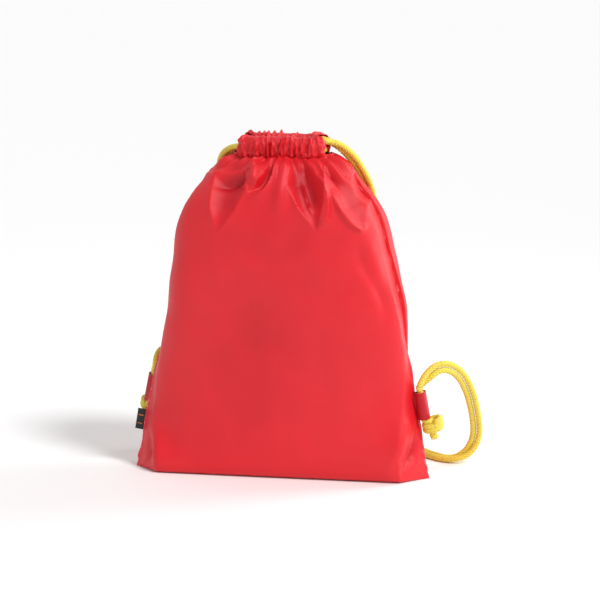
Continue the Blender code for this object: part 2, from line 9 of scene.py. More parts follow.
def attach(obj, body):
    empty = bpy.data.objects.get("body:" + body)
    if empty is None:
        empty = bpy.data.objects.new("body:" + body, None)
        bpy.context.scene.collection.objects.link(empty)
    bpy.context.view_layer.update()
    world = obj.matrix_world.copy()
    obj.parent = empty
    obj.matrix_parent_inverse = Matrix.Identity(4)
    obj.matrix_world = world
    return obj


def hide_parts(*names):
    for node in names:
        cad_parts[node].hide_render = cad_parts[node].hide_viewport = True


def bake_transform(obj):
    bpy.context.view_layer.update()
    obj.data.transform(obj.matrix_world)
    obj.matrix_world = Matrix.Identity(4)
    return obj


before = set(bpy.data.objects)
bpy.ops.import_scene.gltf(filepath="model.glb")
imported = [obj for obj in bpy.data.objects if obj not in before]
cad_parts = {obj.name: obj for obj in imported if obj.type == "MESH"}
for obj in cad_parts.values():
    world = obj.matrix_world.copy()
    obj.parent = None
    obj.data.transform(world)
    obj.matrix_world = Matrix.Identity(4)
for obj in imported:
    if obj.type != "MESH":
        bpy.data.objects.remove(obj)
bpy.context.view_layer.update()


def smoothstep(t):
    t = np.clip(t, 0.0, 1.0)
    return t * t * (3 - 2 * t)


def through(stations, x):  # smooth curve through (x, value) stations, read at x
    xs = [p[0] for p in stations]
    ys = [p[1] for p in stations]
    i = min(max(int(np.searchsorted(xs, x)) - 1, 0), len(xs) - 2)

    def slope(k):
        lo, hi = max(k - 1, 0), min(k + 1, len(xs) - 1)
        return (ys[hi] - ys[lo]) / (xs[hi] - xs[lo])
    h = xs[i + 1] - xs[i]
    t = (x - xs[i]) / h
    return ((1 + 2 * t) * (1 - t) ** 2 * ys[i] + t * (1 - t) ** 2 * h * slope(i)
            + t * t * (3 - 2 * t) * ys[i + 1] + t * t * (t - 1) * h * slope(i + 1))


def lengthsAlong(points):  # the length from the first point to each one
    return np.concatenate(([0], np.cumsum(np.linalg.norm(np.diff(points, axis=0), axis=1))))


def smoothRoute(knots, step):  # evenly spaced rows on a curve through the rows of knots
    pts = [np.array(k, dtype=float) for k in knots]
    pts = [2 * pts[0] - pts[1]] + pts + [2 * pts[-1] - pts[-2]]
    fine = []
    for i in range(1, len(pts) - 2):
        p0, p1, p2, p3 = pts[i - 1:i + 3]
        t1 = np.linalg.norm((p1 - p0)[:3]) ** 0.5
        t2 = t1 + np.linalg.norm((p2 - p1)[:3]) ** 0.5
        t3 = t2 + np.linalg.norm((p3 - p2)[:3]) ** 0.5
        for k in range(16):
            t = t1 + (t2 - t1) * k / 16
            a1 = p0 * (t1 - t) / t1 + p1 * t / t1
            a2 = p1 * (t2 - t) / (t2 - t1) + p2 * (t - t1) / (t2 - t1)
            a3 = p2 * (t3 - t) / (t3 - t2) + p3 * (t - t2) / (t3 - t2)
            b1 = a1 * (t2 - t) / t2 + a2 * t / t2
            b2 = a2 * (t3 - t) / (t3 - t1) + a3 * (t - t1) / (t3 - t1)
            fine.append(b1 * (t2 - t) / (t2 - t1) + b2 * (t - t1) / (t2 - t1))
    fine = np.array(fine + [pts[-2]])
    lengths = lengthsAlong(fine[:, :3])
    count = max(2, int(round(lengths[-1] / step)))
    wanted = np.linspace(0, lengths[-1], count + 1)
    return np.stack([np.interp(wanted, lengths, fine[:, c]) for c in range(fine.shape[1])], axis=1)


def cleanSelection():
    if bpy.context.mode != "OBJECT":
        bpy.ops.object.mode_set(mode="OBJECT")
    bpy.ops.object.select_all(action="DESELECT")


def only(piece):
    cleanSelection()
    piece.select_set(True)
    bpy.context.view_layer.objects.active = piece


def applyModifier(piece, kind, **settings):
    only(piece)
    modifier = piece.modifiers.new(kind.title(), kind)
    for key, value in settings.items():
        setattr(modifier, key, value)
    bpy.ops.object.modifier_apply(modifier=modifier.name)


def onMesh(piece, *steps):  # edit-mode steps on the whole of a mesh
    only(piece)
    bpy.ops.object.mode_set(mode="EDIT")
    bpy.ops.mesh.select_all(action="SELECT")
    for step, settings in steps:
        step(**settings)
    bpy.ops.object.mode_set(mode="OBJECT")


def tidyMesh(piece, inside=False):  # merge doubles, then turn every face outwards
    onMesh(piece, (bpy.ops.mesh.remove_doubles, {"threshold": 1e-6}),
           (bpy.ops.mesh.normals_make_consistent, {"inside": inside}))


def linked(name, mesh):  # a piece from a finished mesh
    piece = bpy.data.objects.new(name, mesh)
    bpy.context.scene.collection.objects.link(piece)
    tidyMesh(piece)
    return piece


def settle(piece, body, finish, stands=()):  # finish and place a piece, and hide the imported parts it stands for
    only(piece)
    bpy.ops.object.shade_smooth_by_angle(angle=math.radians(60))
    piece.data.materials.clear()
    piece.data.materials.append(finish.material)
    if stands:
        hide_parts(*stands)
    if body:
        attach(piece, body)
    return piece


def clothGrid(name, columns, rows, points, flatSize):  # a plane of faces laid onto rows of points
    cleanSelection()
    bpy.ops.mesh.primitive_grid_add(x_subdivisions=columns, y_subdivisions=rows, size=2)
    piece = bpy.context.object
    piece.name = piece.data.name = name
    flat = np.empty(len(piece.data.vertices) * 3)
    piece.data.vertices.foreach_get("co", flat)
    flat = flat.reshape(-1, 3)
    column = np.rint((flat[:, 0] + 1) / 2 * columns).astype(int)
    row = np.rint((flat[:, 1] + 1) / 2 * rows).astype(int)
    corner = np.empty(len(piece.data.loops), dtype=int)
    piece.data.loops.foreach_get("vertex_index", corner)
    uv = np.stack([column[corner] / columns * flatSize[0], row[corner] / rows * flatSize[1]], axis=1)
    piece.data.uv_layers[0].data.foreach_set("uv", uv.ravel())
    piece.data.vertices.foreach_set("co", np.asarray(points)[row, column].ravel())
    piece.data.update()
    return piece


# camera
camera = {"target": (0.0212, 0.0, 0.2004), "azimuth": 10.0, "elevation": 11.0, "distance": 3.0,
          "frameWidth": 0.676}


def hang(name, data, place, aim):  # a camera or a lamp, turned to look along aim
    made = bpy.data.objects.new(name, data)
    made.location = place
    made.rotation_euler = aim.to_track_quat("-Z", "Y").to_euler()
    bpy.context.scene.collection.objects.link(made)
    return made


def makeCamera():
    turn, rise = math.radians(camera["azimuth"]), math.radians(camera["elevation"])
    forward = Vector((-math.sin(turn) * math.cos(rise), math.cos(turn) * math.cos(rise), -math.sin(rise)))
    data = bpy.data.cameras.new("camera")
    data.sensor_width = 36.0
    data.lens = data.sensor_width * camera["distance"] / camera["frameWidth"]
    bpy.context.scene.camera = hang("camera", data, Vector(camera["target"]) - forward * camera["distance"], forward)


makeCamera()
print("camera placed")


# finishes
class Wire:  # one socket of a finish, so that shader maths reads as an expression
    def __init__(self, finish, socket):
        self.finish = finish
        self.socket = socket

    def math(self, operation, *others, clamp=False):
        return self.finish.node("ShaderNodeMath", {"operation": operation, "use_clamp": clamp},
                                dict(enumerate((self, *others))))

    def swapped(self, operation, other):
        return self.finish.node("ShaderNodeMath", {"operation": operation}, {0: other, 1: self})

    def __add__(self, other):
        return self.math("ADD", other)

    def __sub__(self, other):
        return self.math("SUBTRACT", other)

    def __mul__(self, other):
        return self.math("MULTIPLY", other)

    def __radd__(self, other):
        return self.swapped("ADD", other)

    def __rsub__(self, other):
        return self.swapped("SUBTRACT", other)

    def __rmul__(self, other):
        return self.swapped("MULTIPLY", other)

    def wave(self, pitch):  # 0 to 1 and back once in each pitch
        return (self * (2 * math.pi / pitch)).math("SINE") * 0.5 + 0.5

    def clamped(self):
        return self.math("ADD", 0.0, clamp=True)

    def rise(self, low, high):
        return self.finish.node("ShaderNodeMapRange", {"interpolation_type": "SMOOTHSTEP"},
                                {"Value": self, "From Min": low, "From Max": high})

    def band(self, low, high, soft=0.0002):  # 1 between two values, with soft edges inside them
        return self.rise(low, low + soft) * (1.0 - self.rise(high - soft, high))


class Finish:
    def __init__(self, name, roughness, sheen=0.0, sheenTint=(1, 1, 1, 1), specular=0.5):
        self.material = bpy.data.materials.new(name)
        self.material.use_nodes = True
        self.tree = self.material.node_tree
        self.shader = self.tree.nodes["Principled BSDF"]
        self.shader.inputs["Roughness"].default_value = roughness
        self.shader.inputs["Sheen Weight"].default_value = sheen
        self.shader.inputs["Sheen Roughness"].default_value = 0.35
        self.shader.inputs["Sheen Tint"].default_value = sheenTint
        self.shader.inputs["Specular IOR Level"].default_value = specular

    def node(self, kind, settings=None, sockets=None, out=0):  # any node: settings first, then its sockets
        made = self.tree.nodes.new(kind)
        for key, value in (settings or {}).items():
            setattr(made, key, value)
        for key, value in (sockets or {}).items():
            if isinstance(value, Wire):
                self.tree.links.new(value.socket, made.inputs[key])
            else:
                made.inputs[key].default_value = value
        return Wire(self, made.outputs[out])

    def place(self):  # the piece's own coordinates, in metres
        return self.node("ShaderNodeTexCoord", out="Object")

    def cloth(self):  # across and along the cloth, in metres
        split = self.node("ShaderNodeSeparateXYZ", None, {0: self.node("ShaderNodeTexCoord", out="UV")})
        return split, Wire(self, split.socket.node.outputs[1])

    def grain(self, scale, detail=2.0):
        return self.node("ShaderNodeTexNoise", None, {"Vector": self.place(), "Scale": scale, "Detail": detail})

    def attribute(self, name):
        return self.node("ShaderNodeAttribute", {"attribute_name": name}, out="Fac")

    def mix(self, share, first, second):
        return self.node("ShaderNodeMix", {"data_type": "RGBA"}, {0: share, 6: first, 7: second}, out=2)

    def feed(self, socket, value):
        self.tree.links.new(value.socket, self.shader.inputs[socket])

    def bump(self, height, distance, strength=1.0):
        self.feed("Normal", self.node("ShaderNodeBump", None,
                                      {"Height": height, "Distance": distance, "Strength": strength}))


# deep is painted shade, laid into the folds by the fold attribute
nylon = {"lit": (0.72, 0.008, 0.018, 1), "deep": (0.44, 0.002, 0.010, 1), "worn": (0.76, 0.017, 0.026, 1),
         "threadPitch": 0.00062, "ribPitch": 0.0045, "roughness": 0.40}


def makeNylon():  # thin plain-weave nylon with a satin face, and painted shade in its folds
    finish = Finish("red_nylon", nylon["roughness"], sheen=0.12, sheenTint=(1.0, 0.55, 0.55, 1), specular=0.38)
    across, along = finish.cloth()
    drift = finish.grain(9.0)
    speck = finish.grain(420.0)
    fold = finish.attribute("fold")
    base = finish.mix((drift - 0.32) * 1.6, nylon["lit"], nylon["worn"])
    # painted shade: the deep colour darkens the cloth as far as the fold attribute says, with a little random speck
    finish.feed("Base Color", finish.mix((fold * 0.8 + speck * 0.12).clamped(), base, nylon["deep"]))
    finish.feed("Roughness", nylon["roughness"] - 0.05 + drift * 0.08 + speck * 0.06)
    weave = across.wave(nylon["threadPitch"]) * 0.5 + along.wave(nylon["threadPitch"]) * 0.5
    ribs = along.wave(nylon["ribPitch"]) * 0.10
    finish.bump(weave + ribs + speck * 0.5, 0.00009, 0.55)
    return finish


# gap is painted shade for the hollows between the braid's yarns
cordFinish = {"face": (0.80, 0.60, 0.030, 1), "gap": (0.42, 0.22, 0.006, 1), "light": (0.88, 0.76, 0.14, 1),
              "yarnPitch": 0.00055}


def makeCordFinish():  # soft braided polypropylene, with painted shade in the braid's hollows
    finish = Finish("yellow_cord", 0.50, sheen=0.15, sheenTint=(1.0, 0.85, 0.3, 1), specular=0.40)
    along, around = finish.cloth()
    braid = finish.attribute("braid")
    fuzz = finish.grain(900.0, 3.0)
    face = finish.mix(fuzz, cordFinish["face"], cordFinish["light"])
    # painted shade: the gap colour fills where the braid sinks in
    finish.feed("Base Color", finish.mix(braid.rise(0.10, 0.62), cordFinish["gap"], face))
    finish.feed("Roughness", 0.5 + fuzz * 0.15)
    yarn = (along + around * 0.0006).wave(cordFinish["yarnPitch"])
    finish.bump(yarn * 0.6 + fuzz * 0.7, 0.00012, 0.6)
    return finish


edgeFinish = {"plain": (0.74, 0.030, 0.045, 1), "paintedHighlight": (0.86, 0.20, 0.22, 1), "roughness": 0.30}


def makeEdgeFinish():  # nylon creased hard along a seam, with painted highlights on its crinkle crests
    finish = Finish("seam_nylon", edgeFinish["roughness"], sheen=0.2)
    crinkle = finish.grain(150.0, 4.0)
    # painted highlight: pale patches where the crinkle noise is high
    finish.feed("Base Color", finish.mix(crinkle.rise(0.50, 0.66), edgeFinish["plain"], edgeFinish["paintedHighlight"]))
    finish.bump(crinkle, 0.0005, 0.8)
    return finish


threadFinish = {"colour": (0.70, 0.016, 0.030, 1), "dark": (0.48, 0.008, 0.018, 1)}


def makeThreadFinish():
    finish = Finish("red_thread", 0.6, sheen=0.2)
    fibre = finish.grain(1500.0)
    finish.feed("Base Color", finish.mix(fibre, threadFinish["colour"], threadFinish["dark"]))
    finish.bump(fibre, 0.0001, 0.5)
    return finish


labelFinish = {"ground": (0.012, 0.012, 0.013, 1), "rib": (0.030, 0.029, 0.030, 1), "line": (0.62, 0.17, 0.02, 1),
               "pitch": 0.00045, "upper": (0.0158, 0.0172), "lower": (0.0062, 0.0072), "inset": (0.0022, 0.0080)}


def makeLabelFinish():  # woven ribbon with plain coloured bars
    finish = Finish("black_label", 0.62, sheen=0.15, specular=0.35)
    across, along = finish.cloth()
    rib = along.wave(labelFinish["pitch"])
    ground = finish.mix(rib, labelFinish["ground"], labelFinish["rib"])
    upper, lower = along.band(*labelFinish["upper"]), along.band(*labelFinish["lower"])
    inset = across.band(*labelFinish["inset"])
    finish.feed("Base Color", finish.mix(((upper + lower) * inset).clamped(), ground, labelFinish["line"]))
    finish.bump(rib * 0.6 + across.wave(labelFinish["pitch"]) * 0.4, 0.00012, 0.7)
    return finish


redNylon, yellowCord, redThread, blackLabel = makeNylon(), makeCordFinish(), makeThreadFinish(), makeLabelFinish()
seamNylon = makeEdgeFinish()
print("finishes made")


# the bag's section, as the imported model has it
bag = {"baseWidth": 0.340, "baseDepth": 0.072, "bellyDepth": 0.132, "bellyHeight": 0.268, "neckHeight": 0.365,
       "neckDepth": 0.053, "earHeight": 0.215, "seamPinch": 0.006, "pinchReach": 0.012, "bellyShift": 0.006,
       "mouthShift": 0.003, "leftCorner": 0.060, "rightCorner": 0.130, "gap": 0.0003, "frontFold": 0.838,
       "backFold": 0.750, "foldAt": 0.8,
       "outline": ((0.0, 1.0), (0.068, 0.960), (0.158, 0.935), (0.237, 0.897), (0.356, 0.862), (0.485, 0.821),
                   (0.578, 0.791), (0.704, 0.735), (0.799, 0.694), (0.862, 0.632), (0.925, 0.532), (0.956, 0.479),
                   (0.988, 0.400), (1.0, 0.114 / 0.340))}


def halfWidth(s):
    return bag["baseWidth"] / 2 * through(bag["outline"], s)


def halfDepth(s):
    belly = bag["bellyHeight"] / bag["neckHeight"]
    if s < belly:
        return (bag["baseDepth"] + (bag["bellyDepth"] - bag["baseDepth"]) * smoothstep(s / belly)) / 2
    rise = (s - belly) / (1 - belly)
    return (bag["neckDepth"] + (bag["bellyDepth"] - bag["neckDepth"]) * (1 - rise ** 3)) / 2


def sectionRow(t, s, side, sewn=True):  # points across the panel at one height; t runs from -1 at the left seam to 1
    a, b, u = halfWidth(s), halfDepth(s), np.abs(t)
    fold = bag["frontFold"] if side < 0 else bag["backFold"]
    out = np.clip((u - bag["foldAt"]) / (1 - bag["foldAt"]), 0, 1)
    boxX = np.where(u < bag["foldAt"], fold * u / bag["foldAt"], fold + (1 - fold) * out)
    n = 2.1 + 0.7 * smoothstep((s - 0.25) / 0.3) - 0.5 * smoothstep((s - 0.85) / 0.15)
    fullX = np.sin(u * math.pi / 2) ** (2 / n)
    fullY = np.maximum(np.cos(u * math.pi / 2), 0) ** (2 / n)
    ear = smoothstep(1 - s * bag["neckHeight"] / bag["earHeight"])
    if not sewn and side < 0:  # the filled cloth rounds the corner off above the floor
        reach = np.where(t < 0, bag["leftCorner"], bag["rightCorner"])
        ear = np.minimum(ear, smoothstep(1 - s * bag["neckHeight"] / reach))
    y = b * (ear * (1 - out) + (1 - ear) * fullY)
    pinch = bag["seamPinch"] * smoothstep((s - 0.27) / 0.2) * smoothstep((1 - s) / 0.1)
    x = a * (ear * boxX + (1 - ear) * fullX) - pinch * np.exp(-(y / bag["pinchReach"]) ** 2)
    lean = bag["bellyShift"] * math.exp(-((s - 0.53) / 0.18) ** 2) + bag["mouthShift"] * smoothstep((s - 0.9) / 0.1)
    if not sewn and side < 0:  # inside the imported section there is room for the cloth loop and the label
        packed = sectionRow(np.linspace(0, 1, 201), s, side)
        y = np.minimum(y, np.interp(x, packed[:, 0] - lean, np.abs(packed[:, 1]) - bag["gap"] / 2))
    z = np.full_like(x, s * bag["neckHeight"])
    return np.stack([np.copysign(x, t) + lean, side * (y + bag["gap"] / 2), z], axis=1)


def seamPoint(side, z):
    p = sectionRow(np.array([float(side)]), z / bag["neckHeight"], -1)[0]
    return Vector((p[0], 0.0, z))


# cords
cord = {"diameter": 0.0068, "pair": 0.0037, "braidPitch": 0.0044, "braidWays": 6, "sides": 24, "step": 0.00085,
        "relief": 0.11, "settleStep": 0.0045}
pair = cord["pair"]
# along each pair of strands: a place, the direction from one strand to the other, and half their distance apart
# where it isn't the usual one
rightRoute = (
    (0.0446, 0.0, 0.3821, 0.0, -1.0, 0.0, 0.0106), (0.0535, 0.0015, 0.3812, 0.1, -1.0, 0.1, 0.0065),
    (0.0655, 0.0055, 0.3752, 0.3, -0.8, 0.5), (0.0762, 0.013, 0.364, 0.5, -0.65, 0.55),
    (0.0852, 0.025, 0.3475, 0.6, -0.6, 0.4), (0.0928, 0.044, 0.322, 0.75, -0.5, 0.2),
    (0.0945, 0.0575, 0.295, 0.9, -0.35, 0.1), (0.0935, 0.0665, 0.26, 1.0, -0.2, 0.0),
    (0.0915, 0.071, 0.215, 1.0, -0.1, 0.0), (0.0895, 0.0725, 0.17, 1.0, 0.0, 0.0),
    (0.088, 0.0735, 0.125, 1.0, 0.0, 0.0), (0.0875, 0.075, 0.08, 1.0, 0.0, 0.0),
    (0.088, 0.079, 0.042, 1.0, 0.0, 0.0), (0.089, 0.088, 0.0145, 1.0, 0.0, 0.0),
    (0.0925, 0.1035, 0.004, 0.98, -0.2, 0.0), (0.101, 0.118, 0.0037, 0.7, -0.7, 0.0),
    (0.116, 0.1245, 0.0037, 0.15, -1.0, 0.0), (0.133, 0.1195, 0.0037, -0.4, -0.9, 0.0),
    (0.1475, 0.106, 0.0037, -0.65, -0.75, 0.0), (0.161, 0.092, 0.0037, -0.65, -0.75, 0.0),
    (0.1755, 0.08, 0.0038, -0.5, -0.85, 0.0), (0.19, 0.0745, 0.006, 0.0, -1.0, -0.1),
    (0.203, 0.0745, 0.0125, 0.45, -0.75, -0.45), (0.211, 0.0755, 0.0235, 0.85, -0.35, -0.35),
    (0.2145, 0.0735, 0.0375, 1.0, -0.1, -0.05), (0.2143, 0.066, 0.0554, 1.0, 0.0, 0.05),
    (0.212, 0.055, 0.0758, 0.98, 0.05, 0.2), (0.2084, 0.044, 0.0938, 0.93, 0.1, 0.38),
    (0.2024, 0.033, 0.1101, 0.75, 0.1, 0.66), (0.1939, 0.023, 0.1215, 0.35, 0.1, 0.93),
    (0.185, 0.015, 0.1262, 0.0, 0.0, 1.0), (0.1763, 0.009, 0.1252, -0.35, -0.1, 0.92),
    (0.1682, 0.004, 0.119, -0.6, -0.45, 0.6),
)
leftRoute = (
    (-0.0386, 0.0, 0.3745, 0.0, -1.0, 0.0, 0.0106),
    (-0.0475, 0.0035, 0.3738, -0.1, -1.0, 0.0, 0.0065), (-0.058, 0.01, 0.3695, -0.3, -0.9, 0.2),
    (-0.0675, 0.0205, 0.361, -0.5, -0.75, 0.35), (-0.0745, 0.0345, 0.346, -0.7, -0.6, 0.3),
    (-0.0798, 0.051, 0.325, -0.85, -0.45, 0.2), (-0.0815, 0.062, 0.296, -0.95, -0.25, 0.05),
    (-0.081, 0.068, 0.26, -1.0, -0.15, 0.0), (-0.08, 0.0715, 0.215, -1.0, -0.05, 0.0),
    (-0.079, 0.073, 0.17, -1.0, 0.0, 0.0), (-0.0775, 0.0745, 0.125, -1.0, 0.0, 0.0),
    (-0.075, 0.076, 0.08, -1.0, 0.0, 0.0), (-0.071, 0.08, 0.042, -1.0, 0.05, 0.0),
    (-0.0665, 0.089, 0.0145, -0.98, 0.15, 0.0), (-0.0635, 0.104, 0.004, -0.98, 0.1, 0.0),
    (-0.065, 0.121, 0.0037, -0.98, -0.2, 0.0), (-0.0745, 0.1355, 0.0037, -0.65, -0.75, 0.0),
    (-0.09, 0.141, 0.0037, -0.1, -1.0, 0.0), (-0.106, 0.1345, 0.0037, 0.55, -0.85, 0.0),
    (-0.118, 0.12, 0.0037, 0.8, -0.6, 0.0), (-0.1255, 0.106, 0.0045, 0.9, -0.4, -0.1),
    (-0.13, 0.093, 0.013, 0.95, -0.2, -0.25), (-0.133, 0.084, 0.032, 0.9, 0.35, -0.1),
    (-0.1345, 0.077, 0.057, 0.6, 0.8, 0.05), (-0.1355, 0.07, 0.08, 0.3, 0.95, 0.15),
    (-0.137, 0.0615, 0.099, 0.1, 0.9, 0.35), (-0.139, 0.051, 0.114, 0.05, 0.8, 0.55),
    (-0.142, 0.04, 0.1245, 0.0, 0.5, 0.85), (-0.1455, 0.0275, 0.1285, 0.0, 0.0, 1.0),
    (-0.148, 0.016, 0.124, 0.0, -0.65, 0.75),
)
casing = {"height": 0.026, "depth": 0.019, "radius": 0.0165, "straight": 0.029, "endAngle": math.radians(40),
          "level": 0.0038, "settle": 0.0030}
casing["middle"] = bag["neckHeight"] + bag["gap"] + casing["height"] / 2
tab = {"length": 0.0315, "fin": 0.0022, "wall": 0.0010, "snug": 0.0004, "splitTop": 0.0005, "knotDrop": 0.0015,
       "tail": 0.0105, "shorter": 0.82, "splay": 0.0015, "flat": 0.72}
wide = pair + cord["diameter"] / 2 + tab["wall"] + tab["snug"]
narrow = cord["diameter"] / 2 + tab["wall"] + tab["snug"] * 2


class SeamLoop:  # where a cloth loop and its cord sit on a side seam
    def __init__(self, side, height, turn, halfOut, halfAcross, strandsAcross, hang, knot):
        reach = tab["length"] / 2
        self.middle = seamPoint(side, height)
        self.up = (seamPoint(side, height + reach) - seamPoint(side, height - reach)).normalized()
        straightOut = Vector((side * self.up.z, 0, -side * self.up.x))
        self.out = straightOut * math.cos(turn) + Vector((0, 1, 0)) * math.sin(turn)
        self.across = self.up.cross(self.out)
        self.halfOut, self.halfAcross = halfOut, halfAcross
        self.tunnel = self.middle + self.out * (tab["fin"] + halfOut)
        self.strandSide = self.across if strandsAcross else self.out
        self.top = self.tunnel + self.up * reach
        self.bottom = self.tunnel - self.up * reach
        self.knot = knot
        drop = tab["knotDrop"] + bag["gap"] + knot[2] * tab["flat"]
        self.knotCentre = self.bottom - self.up * drop + self.out * hang


rightLoop = SeamLoop(1, 0.0830, 0.0, narrow + 0.0006, wide, True, 0.0062, (0.0112, 0.0105, 0.0082))
leftLoop = SeamLoop(-1, 0.0905, math.radians(74), wide, narrow, False, 0.0045, (0.0108, 0.0084, 0.0082))


def braidedTube(name, points, fullEnd=0.0):  # a cord with its braid raised on it
    line = smoothRoute([tuple(p) for p in points], cord["step"])
    ahead = np.gradient(line, axis=0)
    ahead /= np.linalg.norm(ahead, axis=1)[:, None]
    normal = np.cross(ahead[0], (0.31, 0.17, 0.93))
    normal /= np.linalg.norm(normal)
    turns = np.arange(cord["sides"]) / cord["sides"]
    lengths = np.arange(len(line)) * cord["step"]
    phase = lengths[:, None] / cord["braidPitch"]
    ways = turns[None, :] * cord["braidWays"]
    raised = np.sqrt(np.abs(np.sin(math.pi * (phase + ways)) * np.sin(math.pi * (phase - ways))))
    wander = np.array([noise.noise(Vector((s * 60, cord["diameter"] * 9000, 1.0))) for s in lengths])
    radius = cord["diameter"] / 2 * (1 - cord["relief"] + cord["relief"] * 1.6 * raised)
    radius = radius * (1 + 0.03 * wander[:, None])
    radius[0] *= 0.55
    radius[-1] *= 0.55 + fullEnd
    radius[-2] *= 0.9 + fullEnd
    rings = []
    for middle, run, ring in zip(line, ahead, radius):
        normal = normal - run * np.dot(normal, run)
        normal /= np.linalg.norm(normal)
        other = np.cross(run, normal)
        angle = turns * 2 * math.pi
        rings.append(middle + ring[:, None] * (np.cos(angle)[:, None] * normal + np.sin(angle)[:, None] * other))
    count, sides = len(rings), cord["sides"]
    verts = np.concatenate(rings + [line[:1], line[-1:]])
    faces = [(r * sides + i, r * sides + (i + 1) % sides, (r + 1) * sides + (i + 1) % sides, (r + 1) * sides + i)
             for r in range(count - 1) for i in range(sides)]
    faces += [((i + 1) % sides, i, count * sides) for i in range(sides)]
    last = (count - 1) * sides
    faces += [(last + i, last + (i + 1) % sides, count * sides + 1) for i in range(sides)]
    mesh = bpy.data.meshes.new(name)
    mesh.from_pydata(verts.tolist(), [], faces)
    # the braid relief, kept for the painted shade in its hollows
    braid = mesh.attributes.new("braid", "FLOAT", "POINT")
    braid.data.foreach_set("value", np.concatenate([raised.ravel(), [0.5, 0.5]]).astype(np.float32))
    uv = mesh.uv_layers.new(name="UVMap")
    for face in mesh.polygons:
        for corner, vertex in zip(face.loop_indices, face.vertices):
            ring, side = divmod(vertex, sides)
            seam = 1 if side == 0 and any(v % sides == sides - 1 for v in face.vertices) else 0
            uv.data[corner].uv = (min(ring, count - 1) * cord["step"], side / sides + seam)
    piece = linked(name, mesh)
    piece["line"] = line[::4].ravel().tolist()
    return piece


def mouthPoint(angle):
    c, s = math.cos(angle), math.sin(angle)
    return Vector((casing["straight"] + casing["radius"] * c, casing["radius"] * s, 0)), Vector((c, s, 0))


def pairStrands(route, loop, ownEnd):  # two strands side by side, then straight into the cloth loop
    landing = loop.top + loop.up * bag["gap"] * 2
    endSide = -loop.strandSide
    knots = [(*row, pair)[:7] for row in route]
    knots += [(*(landing + loop.up * rise), *endSide, pair) for rise in (0.0045, 0.0)]
    rows = smoothRoute(knots, cord["settleStep"])
    ahead = np.gradient(rows[:, :3], axis=0)
    strands = []
    for sign in (1, -1):
        strand = []
        for row, run in zip(rows, ahead):
            side, run = Vector(row[3:6]), Vector(run).normalized()
            side = (side - run * side.dot(run)).normalized()
            strand.append(Vector(row[:3]) + side * row[6] * sign)
        strand[-1] = landing + endSide * pair * sign
        strand[-2] = strand[-1] + loop.up * (strand[-2] - strand[-1]).length
        for point in strand:
            point.z = max(point.z, cord["diameter"] / 2 + bag["gap"])
        end, normal = mouthPoint(-casing["endAngle"])
        run = Vector((-normal.y, normal.x, 0))
        turn = Vector((ownEnd, sign, 1))
        offset = Vector((bag["mouthShift"], 0, casing["middle"] + ownEnd * casing["level"]))
        start = [end + run * bag["gap"] * 2, end + run * cord["diameter"] * 0.6]
        strands.append([p * turn + offset for p in start] + strand[1:])
    return strands


def makeMouthCord(name, side, level):  # a cord's run through both casings, round the far end of the mouth
    half = [mouthPoint(-casing["endAngle"] + (-math.pi / 2 + casing["endAngle"]) * k / 6)[0] for k in range(7)]
    straight = [Vector((casing["straight"] * t, -casing["radius"], 0)) for t in (0.5, 0.0, -0.5)]
    far = [Vector((-p.x, p.y, 0)) for p in (mouthPoint(math.radians(a))[0] for a in range(-90, 1, 15))]
    front = half + straight + far
    loop = front + [Vector((p.x, -p.y, 0)) for p in reversed(front[:-1])]
    points = [Vector((side * p.x + bag["mouthShift"], p.y, casing["middle"] + level)) for p in loop]
    for k, point in enumerate(points):  # it settles a little inside the drawn-up tunnel
        point.z -= casing["settle"] * smoothstep(min(k, len(points) - 1 - k) / 4)
    piece = braidedTube(name + "_run", points)
    return settle(piece, "bag", yellowCord, [name])


def makeCordSide(prefix, route, loop, ownEnd):
    body, endBody = prefix + "_tab", prefix + "_cord_end"
    pieces = []
    for tag, points in zip(("front", "back"), pairStrands(route, loop, ownEnd)):
        node = f"{prefix}_cord_{tag}_strand"
        strand = braidedTube(node + "_braid", points)
        settle(strand, None, yellowCord, [node])
        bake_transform(strand)
        pieces.append(strand)
    for tag, sign in (("a", 1), ("b", -1)):
        line = loop.tunnel + loop.strandSide * pair * sign
        reach = tab["length"] / 2
        split = line + loop.up * tab["splitTop"]
        inner = braidedTube(f"{prefix}_loop_strand_{tag}_braid",
                            [line + loop.up * reach, line + loop.up * reach * 0.5, split + loop.up * bag["gap"]])
        settle(inner, body, yellowCord, [f"{prefix}_loop_strand_{tag}"])
        under = line - loop.up * (reach + tab["knotDrop"])
        knotTop = loop.knotCentre + loop.up * loop.knot[2] * 0.4 + loop.strandSide * pair * sign * 0.8
        below = loop.up * (loop.knot[2] * tab["flat"] + bag["gap"] * 2)
        start = loop.knotCentre - below + loop.strandSide * pair * sign
        leanOut = loop.out * tab["splay"] + loop.strandSide * tab["splay"] * sign
        tailLength = tab["tail"] * (1.0 if sign > 0 else tab["shorter"])
        end = braidedTube(f"{prefix}_cord_end_{tag}_braid",
                          [split, (split + under) / 2, under, knotTop, start, start - loop.up * tailLength / 2,
                           start - loop.up * tailLength + leanOut], fullEnd=0.42)
        settle(end, endBody, yellowCord, [f"{prefix}_cord_end_{tag}", f"{prefix}_cord_tail_{tag}"])
        pieces.append(end)
        pieces.append(inner)
    knot = makeKnot(prefix, loop)
    settle(knot, endBody, yellowCord, [prefix + "_knot"])
    run = makeMouthCord(prefix + "_cord_mouth", ownEnd, ownEnd * casing["level"])
    pieces += [knot, run]
    for i, piece in enumerate(pieces[:2]):
        pieces[2:] if i == 0 else ()


knotTurns = {"count": 2.3, "steps": 14, "start": -0.15, "swell": 0.0022, "bob": 0.0026, "squeeze": 0.10,
             "outward": 0.0016, "tuck": 0.55, "tuckRise": 0.001}


